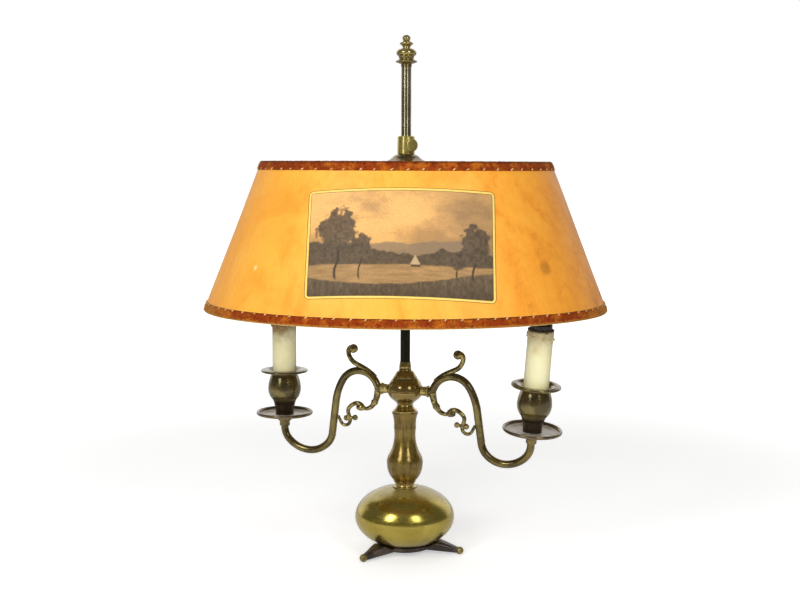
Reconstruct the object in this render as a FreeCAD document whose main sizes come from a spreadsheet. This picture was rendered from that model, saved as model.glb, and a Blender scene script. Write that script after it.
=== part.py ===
import FreeCAD, Part
import math
import os
import re
import Sketcher

# Bouillotte table lamp, in millimetres.
# The origin is on the floor under the column. +Z is up, the shade's long axis lies along X,
# and the front of the shade, with its picture, faces -Y.

# Every driving size, once: its name, its value and what it measures.
SIZES = {
    # Clearances
    "fit_gap": (0.05, "radial clearance of a fixed joint or a running fit"),
    "seat_gap": (0.3, "clearance between curved faces"),
    # Tripod foot
    "toe_reach": (58.0, "from the axis to the middle of a toe"),
    "toe_radius": (3.95, "radius of the ball toe"),
    "toe_flat": (0.3, "depth of the flat that a toe stands on"),
    "leg_heading": (-15.0, "direction of the first leg, seen from above"),
    "leg_root_reach": (26.0, "where a leg leaves the foot disc"),
    "leg_root_width": (23.0, "width of a leg at the foot disc"),
    "leg_knee_reach": (35.0, "where a leg comes out from under the ball"),
    "leg_knee_width": (20.0, "width of a leg under the ball's edge"),
    "leg_knee_bottom": (3.2, "underside of a leg under the ball's edge"),
    "leg_toe_width": (7.2, "width of a leg beside its toe"),
    "leg_toe_bottom": (1.3, "underside of a leg beside its toe"),
    "leg_toe_top": (6.7, "top of a leg beside its toe"),
    "leg_toe_overlap": (1.6, "how far a toe reaches over the end of its leg"),
    "disc_radius": (28.0, "radius of the foot disc"),
    "disc_bottom": (4.3, "underside of the foot disc"),
    "ball_seat": (9.0, "top of the foot disc, which carries the ball"),
    "recess_radius": (12.0, "radius of the recess for the nut"),
    "recess_depth": (2.2, "depth of the recess for the nut"),
    "washer_radius": (9.5, "radius of the washer"),
    "washer_thickness": (1.0, "thickness of the washer"),
    "nut_across_flats": (14.0, "width of the foot nut"),
    "nut_height": (2.8, "height of the foot nut"),
    # Ball
    "ball_radius": (50.6, "largest radius of the ball"),
    "ball_half_height": (31.2, "vertical semi-axis of the ball"),
    "ball_centre": (35.7, "height of the ball's widest ring"),
    "ball_wall": (1.5, "wall of the ball"),
    "ballast_bottom_radius": (20.4, "lower radius of the ballast"),
    "ballast_top_radius": (35.0, "upper radius of the ballast"),
    "ballast_height": (9.5, "height of the ballast"),
    "inlet_radius": (4.2, "hole at the back of the ball for the lead"),
    "bush_flange_radius": (6.5, "flange of the inlet bush"),
    "bush_flange_proud": (1.6, "how far the flange stands out of the ball"),
    "bush_length": (6.0, "length of the bush inside the hole"),
    "lead_radius": (2.0, "radius of the mains lead inside the lamp"),
    "lead_bend": (11.0, "bend radius of the mains lead"),
    # Column
    "pipe_radius": (5.0, "threaded pipe that holds the column together"),
    "pipe_bore": (3.7, "bore of the threaded pipe"),
    "pipe_bottom": (1.6, "lower end of the threaded pipe"),
    "pipe_slot_width": (5.0, "slot in the pipe for the lead"),
    "collar_foot_radius": (12.0, "foot of the neck collar on the ball"),
    "collar_foot_height": (0.8, "straight edge of the neck collar"),
    "collar_waist_radius": (9.6, "narrow part of the neck collar"),
    "collar_waist_height": (3.2, "height of the narrow part"),
    "collar_height": (4.5, "height of the neck collar"),
    "baluster_stub_radius": (10.4, "lower end of the baluster"),
    "baluster_bead_radius": (11.5, "thin bead near the lower end"),
    "baluster_bead_height": (1.6, "height of the thin bead"),
    "baluster_groove_height": (2.5, "top of the thin bead"),
    "baluster_foot_radius": (12.3, "start of the belly"),
    "baluster_foot_height": (3.7, "height of the start of the belly"),
    "baluster_belly_radius": (18.2, "belly of the baluster"),
    "baluster_belly_height": (18.8, "height of the belly"),
    "baluster_shoulder_radius": (16.0, "where the belly turns into the waist"),
    "baluster_shoulder_height": (29.5, "height of that turn"),
    "baluster_waist_radius": (11.3, "waist of the baluster"),
    "baluster_waist_height": (56.7, "height of the waist"),
    "baluster_neck_radius": (12.9, "below the top flange"),
    "baluster_flange_radius": (13.35, "top flange of the baluster"),
    "baluster_flange_height": (1.6, "height of the top flange"),
    "baluster_height": (73.2, "height of the baluster"),
    "baluster_wall": (2.6, "wall of the baluster at its waist"),
    "baluster_web": (6.0, "thickness of its closed ends"),
    # Arm hub
    "hub_radius": (17.65, "radius of the round arm hub"),
    "hub_centre_height": (22.1, "height of the hub's centre over the baluster"),
    "hub_wall": (3.2, "wall of the hub"),
    "hub_foot_radius": (12.2, "lower edge of the hub"),
    "hub_foot_height": (1.5, "height of the lower edge"),
    "hub_neck_radius": (7.8, "narrow neck under the hub"),
    "hub_neck_height": (7.4, "height of the narrow neck"),
    "hub_step_radius": (9.3, "step between neck and round"),
    "hub_step_height": (9.9, "height of that step"),
    "hub_round_radius": (13.4, "where the round starts"),
    "hub_round_height": (13.2, "height of that place"),
    "hub_floor_height": (13.0, "flat floor inside the hub"),
    "column_nut_across_flats": (13.0, "width of the nut on the column's pipe"),
    "column_nut_height": (3.5, "height of that nut"),
    "hub_flat_radius": (12.3, "flat on top of the hub"),
    "hub_opening_radius": (10.0, "opening on top of the hub"),
    "groove_depth": (0.35, "engraved line around the hub"),
    "groove_width": (0.8, "width of the engraved line"),
    "groove_drop": (0.0, "how far the line lies under the widest ring"),
    "block_length": (16.0, "terminal block, along the arms"),
    "block_width": (10.0, "terminal block, across the arms"),
    "block_height": (9.0, "height of the terminal block"),
    # Hub cap, rod and finial
    "cap_rim_radius": (11.6, "rounded rim of the hub cap"),
    "cap_rim_height": (1.8, "height of the rim"),
    "cap_groove_radius": (10.8, "foot of the cone over the rim"),
    "cap_groove_height": (2.6, "height of the cone's foot"),
    "cap_top_radius": (8.0, "top of the hub cap"),
    "cap_height": (7.04, "height of the hub cap over the hub"),
    "cap_plug_depth": (1.8, "how far the cap reaches into the hub"),
    "stud_radius": (4.0, "threaded ends of the rod"),
    "rod_nut_across_flats": (13.0, "width of the nut inside the hub"),
    "rod_nut_height": (3.6, "height of that nut"),
    "ferrule_foot_radius": (6.9, "foot of the rod ferrule"),
    "ferrule_mid_radius": (6.15, "middle of the rod ferrule"),
    "ferrule_top_radius": (5.45, "top of the rod ferrule"),
    "ferrule_mid_height": (4.8, "height of its middle"),
    "ferrule_height": (9.6, "height of the rod ferrule"),
    "rod_radius": (5.0, "radius of the upright rod"),
    "rod_length": (310.5, "length of the upright rod"),
    "rod_seat_depth": (4.4, "how far the rod sits in the hub cap"),
    "rod_stud_length": (8.4, "threaded end under the rod"),
    "finial_stud_length": (10.0, "threaded end in the finial"),
    "finial_skirt_radius": (5.5, "small sleeve under the finial"),
    "finial_skirt_height": (2.6, "height of the small sleeve"),
    "finial_flange_radius": (10.75, "flange of the finial"),
    "finial_edge": (0.9, "rounding of the finial's edges"),
    "finial_flange_height": (2.4, "height of the flange's widest ring"),
    "finial_cone_radius": (7.4, "over the flange"),
    "finial_cone_height": (4.9, "height of the cone's foot"),
    "finial_throat_radius": (7.6, "under the large ring"),
    "finial_throat_height": (6.9, "height under the large ring"),
    "finial_shoulder_radius": (9.25, "lower side of the large ring"),
    "finial_shoulder_height": (8.7, "height of that side"),
    "finial_ring_radius": (10.0, "large ring of the finial"),
    "finial_ring_height": (11.2, "height of the large ring"),
    "finial_neck_radius": (3.6, "neck over the large ring"),
    "finial_neck_height": (15.9, "height of that neck"),
    "finial_disc_radius": (6.75, "upper disc of the finial"),
    "finial_disc_height": (19.9, "height of the upper disc"),
    "finial_throat_two_radius": (3.3, "neck under the bead"),
    "finial_throat_two_height": (23.2, "height of that neck"),
    "finial_bead_radius": (4.0, "bead on top"),
    "finial_bead_height": (25.7, "height of the bead's middle"),
    "finial_height": (28.3, "height of the finial over the rod's end"),
    # Arms, in the plane of an arm
    "arm_heading": (-20.2, "direction of the right arm, seen from above"),
    "arm_height_drop": (-0.2, "how far the arms leave the hub under its centre"),
    "arm_start": (25.5, "where the tube of an arm starts"),
    "arm_tube_radius": (3.9, "outer radius of the tube"),
    "arm_tube_bore": (2.6, "inner radius of the tube"),
    "elbow_bend": (5.5, "first bend of the tube"),
    "elbow_turn": (68.0, "turn of the first bend"),
    "arch_bend": (21.2, "rising side of the arch"),
    "crest_bend": (20.9, "falling side of the arch"),
    "crest_turn": (60.0, "turn of the crest"),
    "flank_bend": (60.7, "outer flank of the arch"),
    "flank_turn": (23.0, "turn of the flank"),
    "right_drop": (33.05, "straight falling run of the right arm"),
    "left_drop": (33.75, "straight falling run of the left arm"),
    "heel_bend": (20.4, "first bend of the bowl"),
    "heel_turn": (38.0, "turn of the first bend of the bowl"),
    "right_bowl": (25.7, "second bend of the right bowl"),
    "left_bowl": (28.5, "second bend of the left bowl"),
    "right_rise": (29.8, "third bend of the right bowl"),
    "left_rise": (32.5, "third bend of the left bowl"),
    "rise_turn": (45.0, "turn of the third bend of the bowl"),
    "tip_bend": (19.4, "last bend, up to the drip pan"),
    "right_run": (12.8, "straight end of the right arm, under its drip pan"),
    "left_run": (10.2, "straight end of the left arm, under its drip pan"),
    "right_lean": (5.0, "outward lean of the right candle"),
    "left_lean": (0.0, "outward lean of the left candle"),
    "right_twist": (3.5, "how far the right arm is screwed round in the hub, towards the front"),
    "left_twist": (0.0, "the same for the left arm"),
    "arm_lead_radius": (1.6, "radius of the lead in an arm"),
    "nipple_hub_radius": (5.1, "nipple, where it meets the hub"),
    "nipple_waist_radius": (4.8, "waist of the nipple"),
    "nipple_waist_place": (3.0, "where the waist lies"),
    "nipple_flare_radius": (6.1, "flared end of the nipple"),
    "nipple_stub_radius": (3.5, "threaded stub of the nipple"),
    "nipple_bore": (2.2, "bore of the nipple"),
    "nipple_edge": (0.9, "rounded edge of the nipple"),
    # Scrolls on the arms
    "tail_radius": (2.5, "radius of the upper scroll"),
    "tail_ball_radius": (4.7, "ball at the end of the upper scroll"),
    "leaf_radius": (3.5, "thick end of the lower scroll"),
    "leaf_tip_radius": (1.5, "thin end of the leaf"),
    "stem_radius": (2.2, "thick start of the lower scroll's stem"),
    "stem_tip_radius": (1.3, "thin end of the lower scroll's stem"),
    "bud_ball_radius": (2.6, "small balls on the lower scroll"),
    "bud_long_radius": (4.6, "half length of the bud"),
    "bud_short_radius": (2.7, "half height of the bud"),
    # Candle, along its own axis from the end of the tube
    "socket_drop": (9.8, "how far the end ferrule reaches down the tube"),
    "socket_radius": (5.4, "end ferrule"),
    "socket_flange_radius": (7.1, "flange of the end ferrule"),
    "socket_flange_height": (1.6, "height of that flange"),
    "socket_flange_drop": (3.6, "how far that flange reaches down the tube"),
    "socket_web": (0.3, "gap between tube and candle pipe"),
    "pan_radius": (29.5, "radius of the drip pan"),
    "pan_flat_radius": (20.0, "flat middle of the drip pan"),
    "pan_rise": (0.9, "how far the rim rises"),
    "pan_thickness": (1.1, "thickness of the drip pan"),
    "pan_bead_radius": (1.8, "rolled edge of the drip pan"),
    "cup_base_radius": (9.6, "foot of the candle cup"),
    "cup_base_height": (2.4, "straight foot of the candle cup"),
    "cup_shoulder_radius": (11.0, "over the foot"),
    "cup_shoulder_height": (11.0, "height over the foot"),
    "cup_waist_radius": (12.4, "where the belly starts"),
    "cup_waist_height": (15.3, "height of the belly's start"),
    "cup_ledge_height": (18.3, "inner ledge that the sleeve stands on"),
    "cup_belly_radius": (17.1, "belly of the candle cup"),
    "cup_belly_height": (27.8, "height of the belly"),
    "cup_throat_radius": (13.65, "throat of the candle cup"),
    "cup_throat_height": (42.4, "height of the throat"),
    "cup_lip_radius": (24.0, "saucer lip of the candle cup"),
    "cup_height": (47.4, "height of the candle cup"),
    "cup_wall": (1.3, "wall of the candle cup"),
    "cup_lip_height": (2.3, "thickness of the lip's edge"),
    "cup_floor": (3.0, "floor of the candle cup"),
    "candle_pipe_radius": (4.0, "threaded pipe in the candle"),
    "candle_pipe_bore": (2.6, "bore of that pipe"),
    "candle_pipe_length": (68.5, "length of that pipe"),
    "cup_nut_across_flats": (12.0, "nut in the candle cup"),
    "cup_nut_height": (3.0, "height of that nut"),
    "sleeve_radius": (12.5, "radius of the candle sleeve"),
    "sleeve_wall": (1.1, "wall of the candle sleeve"),
    "sleeve_top": (105.5, "top of the candle sleeve"),
    "holder_radius": (10.8, "radius of the lampholder"),
    "holder_top": (112.0, "top of the lampholder"),
    "holder_length": (46.0, "length of the lampholder"),
    "holder_floor": (5.0, "thickness of its lower end"),
    "holder_rim_radius": (9.4, "chamfered rim of the lampholder"),
    "holder_rim_height": (1.6, "height of that rim"),
    "shell_bore": (7.05, "inner radius of the small screw shell"),
    "shell_wall": (0.6, "wall of the screw shell"),
    "shell_length": (22.0, "length of the screw shell"),
    "shell_inset": (2.0, "how deep the shell lies under the holder's rim"),
    "holder_bore": (8.0, "upper inner radius of the lampholder"),
    "holder_core": (6.4, "lower inner radius of the lampholder"),
    # Shade carrier
    "shade_bottom": (249.7, "lower edge of the shade"),
    "shade_height": (146.3, "height of the shade"),
    "shade_bottom_long": (202.0, "long semi-axis of the lower edge"),
    "shade_bottom_short": (165.0, "short semi-axis of the lower edge"),
    "shade_top_long": (144.3, "long semi-axis of the upper edge"),
    "shade_top_short": (118.3, "short semi-axis of the upper edge"),
    "trim_thickness": (0.8, "thickness of the velvet edging"),
    "trim_height": (8.0, "height of the velvet edging"),
    "skin_thickness": (1.0, "thickness of the parchment"),
    "wire_radius": (1.6, "radius of the wire rings"),
    "wire_slant": (1.075, "how much the slanted skin widens the ring's place"),
    "spoke_radius": (1.5, "radius of a spoke"),
    "spoke_drop": (3.4, "how far the spokes lie under the shade's upper edge"),
    "spider_radius": (8.2, "hub of the spokes"),
    "spider_height": (12.0, "height of the hub of the spokes"),
    "dome_top_radius": (9.2, "top of the dome cap"),
    "dome_rim_radius": (24.0, "rim of the dome cap"),
    "dome_height": (7.8, "height of the dome cap"),
    "dome_turn_radius": (13.6, "where the dome cap starts to flare"),
    "dome_turn_drop": (2.9, "how far that lies under its top"),
    "dome_wall": (0.8, "wall of the dome cap"),
    "clamp_radius": (8.65, "radius of the clamp collar"),
    "clamp_height": (18.2, "height of the clamp collar"),
    "clamp_chamfer": (0.9, "chamfer of the clamp collar"),
    "clamp_place": (7.0, "lower face of the clamp collar over the shade's upper edge"),
    "spigot_radius": (6.5, "spigot under the clamp collar"),
    "lock_ring_radius": (9.5, "ring nut under the spokes"),
    "lock_ring_height": (4.0, "height of the ring nut"),
    "screw_heading": (-63.0, "direction of the thumb screw, seen from above"),
    "screw_height": (9.0, "height of the thumb screw over the collar's lower face"),
    "screw_radius": (2.0, "shank of the thumb screw"),
    "screw_neck_radius": (3.2, "neck of the thumb screw"),
    "screw_head_radius": (6.4, "head of the thumb screw"),
    "screw_head_place": (9.9, "back of the head, from the rod's axis"),
    "screw_head_thickness": (3.6, "thickness of the head"),
    "screw_edge": (1.2, "rounded edge of the head"),
}

# Places that follow from the sizes.
PLACES = {
    "pipe_hole": "pipe_radius + fit_gap",
    "recess_top": "disc_bottom + recess_depth",
    "leg_knee_top": "ball_centre - ball_half_height * sqrt(1 - (leg_knee_reach / ball_radius)^2) - seat_gap / 2",
    "leg_slope": "ball_half_height * leg_knee_reach / ball_radius^2 / sqrt(1 - (leg_knee_reach / ball_radius)^2)",
    "leg_root_top": "leg_knee_top - (leg_knee_reach - leg_root_reach) * leg_slope",
    "leg_end_reach": "toe_reach - leg_toe_overlap",
    "toe_centre": "toe_radius - toe_flat",
    "collar_bottom": "ball_centre + ball_half_height * sqrt(1 - (collar_foot_radius / ball_radius)^2)",
    "baluster_bottom": "collar_bottom + collar_height",
    "baluster_top": "baluster_bottom + baluster_height",
    "hub_centre": "baluster_top + hub_centre_height",
    "hub_top": "hub_centre + sqrt(hub_radius^2 - hub_flat_radius^2)",
    "hub_cavity_radius": "hub_radius - hub_wall",
    "round_bottom": "baluster_top + hub_round_height",
    "groove_middle": "hub_centre - groove_drop",
    "hub_floor": "baluster_top + hub_floor_height",
    "arm_height": "hub_centre - arm_height_drop",
    "block_bottom": "arm_height - block_height / 2",
    "cap_bottom": "hub_top - cap_plug_depth",
    "cap_top": "hub_top + cap_height",
    "rod_bottom": "cap_top - rod_seat_depth",
    "rod_top": "rod_bottom + rod_length",
    "stud_hole": "stud_radius + fit_gap",
    "rod_hole": "rod_radius + fit_gap",
    "holder_bottom": "holder_top - holder_length",
    "shell_top": "holder_top - shell_inset",
    "shell_bottom": "shell_top - shell_length",
    "sleeve_bore": "sleeve_radius - sleeve_wall",
    "candle_pipe_hole": "candle_pipe_radius + fit_gap",
    "cup_bottom": "socket_flange_height + pan_thickness",
    "sleeve_foot": "cup_bottom + cup_ledge_height",
    "shade_top": "shade_bottom + shade_height",
    "clamp_bottom": "shade_top + clamp_place",
    "clamp_top": "clamp_bottom + clamp_height",
    "spoke_height": "shade_top - spoke_drop",
    "wire_inset": "trim_thickness + skin_thickness + wire_radius * wire_slant + fit_gap",
    "spider_top": "clamp_bottom - dome_wall",
    "spider_bottom": "spider_top - spider_height",
    "spigot_bottom": "spider_bottom - lock_ring_height",
    "spigot_hole": "spigot_radius + fit_gap",
}

WORD = re.compile(r"[a-z][a-z_]+")
NODES = []

doc = FreeCAD.newDocument("bouillotte_lamp")


def make_sheet():
    """The spreadsheet that holds every driving size under its own name."""
    sheet = doc.addObject("Spreadsheet::Sheet", "Sizes")
    for row, (name, (value, meaning)) in enumerate(SIZES.items(), start=1):
        sheet.set(f"A{row}", meaning)
        sheet.set(f"B{row}", str(value))
        sheet.setAlias(f"B{row}", name)
    doc.recompute()
    return sheet


sheet = make_sheet()


def formula(text):
    """Turns names of sizes and places into an expression on the spreadsheet."""
    def replace(match):
        word = match.group(0)
        if word in PLACES:
            return "(" + formula(PLACES[word]) + ")"
        if word in SIZES:
            return "Sizes." + word
        return word
    return WORD.sub(replace, text)


def number(text):
    """The value of such an expression."""
    return float(sheet.evalExpression(formula(text)))


def vector(x, y, z):
    return FreeCAD.Vector(x, y, z)


def bind(thing, target, text):
    """Ties one property of an object to the spreadsheet."""
    thing.setExpression(target, formula(text))


def origin_plane(body, role):
    return [item for item in body.Origin.OriginFeatures if item.Role == role][0]


def new_body(label):
    body = doc.addObject("PartDesign::Body", label)
    NODES.append(body)
    return body


def new_sketch(body, name, role, lift="0"):
    """A sketch on one of its body's own origin planes, lifted along the plane's normal."""
    sketch = body.newObject("Sketcher::SketchObject", name)
    sketch.AttachmentSupport = (origin_plane(body, role), [""])
    sketch.MapMode = "FlatFace"
    if lift != "0":
        bind(sketch, "AttachmentOffset.Base.z", lift)
    return sketch


def pin_point(sketch, geometry, position, x_text, y_text):
    """Fixes a sketch point at two expressions."""
    for kind, text, axis in (("DistanceX", x_text, -2), ("DistanceY", y_text, -1)):
        if text == "0":
            sketch.addConstraint(Sketcher.Constraint("PointOnObject", geometry, position, axis))
            continue
        rule = Sketcher.Constraint(kind, -1, 1, geometry, position, number(text))
        index = sketch.addConstraint(rule)
        bind(sketch, f"Constraints[{index}]", text)


def bend_radius_text(start, end, bulge):
    """Radius of an arc: a named radius, or the one that a roundness (rise over chord) gives."""
    if isinstance(bulge, str):
        return bulge.lstrip("-")
    factor = (1 + 4 * bulge * bulge) / (8 * abs(bulge))
    (x_one, y_one), (x_two, y_two) = start, end
    chord = f"sqrt(({x_two} - ({x_one}))^2 + ({y_two} - ({y_one}))^2)"
    return f"{chord} * {factor:.9f}"


def turns_left(bulge):
    return not bulge.startswith("-") if isinstance(bulge, str) else bulge > 0


def arc_between(start, end, radius, left):
    """The short arc from start to end that turns left or right."""
    half = (end - start) * 0.5
    side = vector(-half.y, half.x, 0).normalize()
    rise = math.sqrt(max(radius * radius - half.Length ** 2, 0))
    centre = start + half + side * (rise if left else -rise)
    first, last = (start, end) if left else (end, start)
    angles = [math.atan2(p.y - centre.y, p.x - centre.x) for p in (first, last)]
    if angles[1] < angles[0]:
        angles[1] += 2 * math.pi
    circle = Part.Circle(centre, vector(0, 0, 1), radius)
    return Part.ArcOfCircle(circle, angles[0], angles[1])


def draw(sketch, corners, closed=True):
    """Draws an outline or a path through (x, y) or (x, y, bulge) corners and pins it to the sizes.

    The bulge belongs to the stretch that starts at the corner: a roundness or a named radius,
    positive where the stretch turns left.
    """
    corners = [(c[0], c[1], c[2] if len(c) > 2 else 0) for c in corners]
    points = [vector(number(x), number(y), 0) for x, y, _ in corners]
    count = len(corners) if closed else len(corners) - 1
    ends = []
    for index in range(count):
        after = (index + 1) % len(corners)
        bulge = corners[index][2]
        if not bulge:
            sketch.addGeometry(Part.LineSegment(points[index], points[after]), False)
            ends.append((1, 2))
            continue
        radius = bend_radius_text(corners[index][:2], corners[after][:2], bulge)
        left = turns_left(bulge)
        sketch.addGeometry(arc_between(points[index], points[after], number(radius), left), False)
        ends.append((1, 2) if left else (2, 1))
    for index in range(count if closed else count - 1):
        after = (index + 1) % count
        sketch.addConstraint(Sketcher.Constraint("Coincident", index, ends[index][1], after, ends[after][0]))
    for index, (x, y, _) in enumerate(corners):
        if index < count:
            pin_point(sketch, index, ends[index][0], x, y)
        else:
            pin_point(sketch, index - 1, ends[index - 1][1], x, y)
    for index in range(count):
        bulge = corners[index][2]
        if bulge:
            after = (index + 1) % len(corners)
            text = bend_radius_text(corners[index][:2], corners[after][:2], bulge)
            rule = sketch.addConstraint(Sketcher.Constraint("Radius", index, number(text)))
            bind(sketch, f"Constraints[{rule}]", text)


def circle_on(sketch, radius, x="0", y="0"):
    """A circle whose radius and centre follow the sizes."""
    centre = vector(number(x), number(y), 0)
    index = sketch.addGeometry(Part.Circle(centre, vector(0, 0, 1), number(radius)), False)
    rule = sketch.addConstraint(Sketcher.Constraint("Radius", index, number(radius)))
    bind(sketch, f"Constraints[{rule}]", radius)
    pin_point(sketch, index, 3, x, y)


def dome_radius(radius, height):
    """Radius of the round that closes a turned piece on its axis."""
    return f"(({radius})^2 + ({height})^2) / (2 * ({height}))"


def turned(label, outline, placement=None):
    """A turned piece: an outline of (radius, height) corners spun about the Z axis."""
    body = new_body(label)
    sketch = new_sketch(body, label + "_outline", "XZ_Plane")
    draw(sketch, outline)
    spin = body.newObject("PartDesign::Revolution", label + "_spin")
    spin.Profile = sketch
    spin.ReferenceAxis = (sketch, ["V_Axis"])
    spin.Angle = 360
    body.Tip = spin
    if placement:
        body.Placement = placement
    return body


def hexagon(sketch, across_flats):
    """A hexagon around the origin, from its width across flats."""
    corner = f"{across_flats} / sqrt(3)"
    flat = f"{across_flats} / 2"
    half = f"{across_flats} / (2 * sqrt(3))"
    draw(sketch, [(half, f"-{flat}"), (corner, "0"), (half, flat),
                  (f"-({half})", flat), (f"-({corner})", "0"), (f"-({half})", f"-{flat}")])


def hex_nut(label, across_flats, height, bottom, hole, placement=None):
    """A hexagon nut with its hole."""
    body = new_body(label)
    sketch = new_sketch(body, label + "_outline", "XY_Plane", bottom)
    hexagon(sketch, across_flats)
    circle_on(sketch, hole)
    pad = body.newObject("PartDesign::Pad", label + "_pad")
    pad.Profile = sketch
    bind(pad, "Length", height)
    body.Tip = pad
    if placement:
        body.Placement = placement
    return body


def path_corners(start, heading, steps):
    """Corners of a path made of straight runs and bends, as expressions.

    A step is ("run", length) or ("bend", radius, turn), and a positive turn goes left.
    """
    x_text, y_text = start
    corners = []
    for step in steps:
        if step[0] == "run":
            corners.append((x_text, y_text))
            x_text = f"{x_text} + {step[1]} * cos({heading})"
            y_text = f"{y_text} + {step[1]} * sin({heading})"
            continue
        radius, turn = step[1:]
        right = number(turn) < 0
        sign = "-" if right else "+"
        after = f"{heading} + {turn}"
        corners.append((x_text, y_text, ("-" if right else "") + radius))
        x_text = f"{x_text} {sign} {radius} * (sin({after}) - sin({heading}))"
        y_text = f"{y_text} {sign} {radius} * (cos({heading}) - cos({after}))"
        heading = after
    corners.append((x_text, y_text))
    return corners


def pipe(body, name, plane, corners, circles, face, place):
    """A pipe along a path: circles on a plane square to the start of the path."""
    spine = new_sketch(body, name + "_path", plane)
    draw(spine, corners, closed=False)
    profile = new_sketch(body, name + "_section", face, place[0])
    for radius in circles:
        circle_on(profile, radius, *place[1:])
    doc.recompute()
    sweep = body.newObject("PartDesign::AdditivePipe", name + "_pipe")
    sweep.Profile = profile
    sweep.Spine = (spine, [])
    body.Tip = sweep
    return sweep


# Primitives and booleans

def primitive(kind, name, sizes, z="0"):
    """A Part primitive with its sizes and its height tied to the sheet."""
    thing = doc.addObject("Part::" + kind, name)
    for target, text in sizes.items():
        bind(thing, target, text)
    bind(thing, "Placement.Base.z", z)
    return thing


def cut(label, base, *tools):
    """The base without the tools."""
    for index, tool in enumerate(tools):
        result = doc.addObject("Part::Cut", label if index == len(tools) - 1 else f"{label}_cut_{index}")
        result.Base = base
        result.Tool = tool
        base = result
    return base


def fuse(label, *pieces):
    result = doc.addObject("Part::MultiFuse", label)
    result.Shapes = list(pieces)
    return result


def keep(thing):
    """Marks an object as a piece of the lamp."""
    NODES.append(thing)
    return thing


def shade_axis(side, height, inset):
    """Semi-axis of the shade's cone at a height, drawn in by an inset."""
    low = f"shade_bottom_{side}"
    high = f"shade_top_{side}"
    return f"{low} + ({high} - {low}) * ({height} - shade_bottom) / shade_height - ({inset})"


def shade_ring(name, height, inset):
    """An ellipse on the shade's cone."""
    ring = doc.addObject("Part::Ellipse", name)
    bind(ring, "MajorRadius", shade_axis("long", height, inset))
    bind(ring, "MinorRadius", shade_axis("short", height, inset))
    bind(ring, "Placement.Base.z", height)
    return ring


def frustum(name, bottom, top, inset):
    """A solid slice of the shade's cone between two heights."""
    loft = doc.addObject("Part::Loft", name)
    loft.Sections = [shade_ring(name + "_low", bottom, inset), shade_ring(name + "_high", top, inset)]
    loft.Solid = True
    loft.Ruled = True
    return loft


# Foot

def make_foot():
    """Disc, three tapered legs and their ball toes, in one casting."""
    body = new_body("tripod_foot")
    disc = new_sketch(body, "foot_disc_outline", "XZ_Plane")
    draw(disc, [("pipe_hole", "recess_top"), ("recess_radius", "recess_top"), ("recess_radius", "disc_bottom"),
                ("disc_radius", "disc_bottom"), ("disc_radius", "ball_seat"), ("pipe_hole", "ball_seat")])
    spin = body.newObject("PartDesign::Revolution", "foot_disc")
    spin.Profile = disc
    spin.ReferenceAxis = (disc, ["V_Axis"])
    spin.Angle = 360
    body.Tip = spin
    sections = []
    for name, reach, width, low, high in (
            ("root", "leg_root_reach", "leg_root_width", "disc_bottom", "leg_root_top"),
            ("knee", "leg_knee_reach", "leg_knee_width", "leg_knee_bottom", "leg_knee_top"),
            ("end", "leg_end_reach", "leg_toe_width", "leg_toe_bottom", "leg_toe_top")):
        section = new_sketch(body, "leg_" + name, "YZ_Plane", reach)
        draw(section, [(f"-{width} / 2", low), (f"{width} / 2", low),
                       (f"{width} / 2", high), (f"-{width} / 2", high)])
        sections.append(section)
    doc.recompute()
    leg = body.newObject("PartDesign::AdditiveLoft", "leg")
    leg.Profile = sections[0]
    leg.Sections = sections[1:]
    leg.Ruled = True
    body.Tip = leg
    toe = new_sketch(body, "toe_outline", "XZ_Plane")
    flat_radius = "sqrt(toe_radius^2 - toe_centre^2)"
    draw(toe, [("toe_reach", "0"), (f"toe_reach + {flat_radius}", "0", "toe_radius"),
               ("toe_reach + toe_radius", "toe_centre", "toe_radius"),
               ("toe_reach", "toe_centre + toe_radius")])
    axis = toe.addGeometry(Part.LineSegment(vector(58, 0, 0), vector(58, 9, 0)), True)
    pin_point(toe, axis, 1, "toe_reach", "0")
    pin_point(toe, axis, 2, "toe_reach", "2 * toe_radius")
    doc.recompute()
    ball = body.newObject("PartDesign::Revolution", "toe")
    ball.Profile = toe
    ball.ReferenceAxis = (toe, ["Axis0"])
    ball.Angle = 360
    body.Tip = ball
    doc.recompute()
    around = body.newObject("PartDesign::PolarPattern", "three_legs")
    around.Originals = [leg, ball]
    around.Axis = (disc, ["V_Axis"])
    around.Angle = 360
    around.Occurrences = 3
    body.Tip = around
    body.Placement.Rotation = FreeCAD.Rotation(vector(0, 0, 1), number("leg_heading"))


def make_foot_fastening():
    """Washer and nut in the recess under the foot."""
    turned("foot_washer", [("pipe_hole", "recess_top - washer_thickness"),
                           ("washer_radius", "recess_top - washer_thickness"),
                           ("washer_radius", "recess_top"), ("pipe_hole", "recess_top")])
    hex_nut("foot_nut", "nut_across_flats", "nut_height",
            "recess_top - washer_thickness - nut_height", "pipe_hole")


# Ball base

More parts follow.
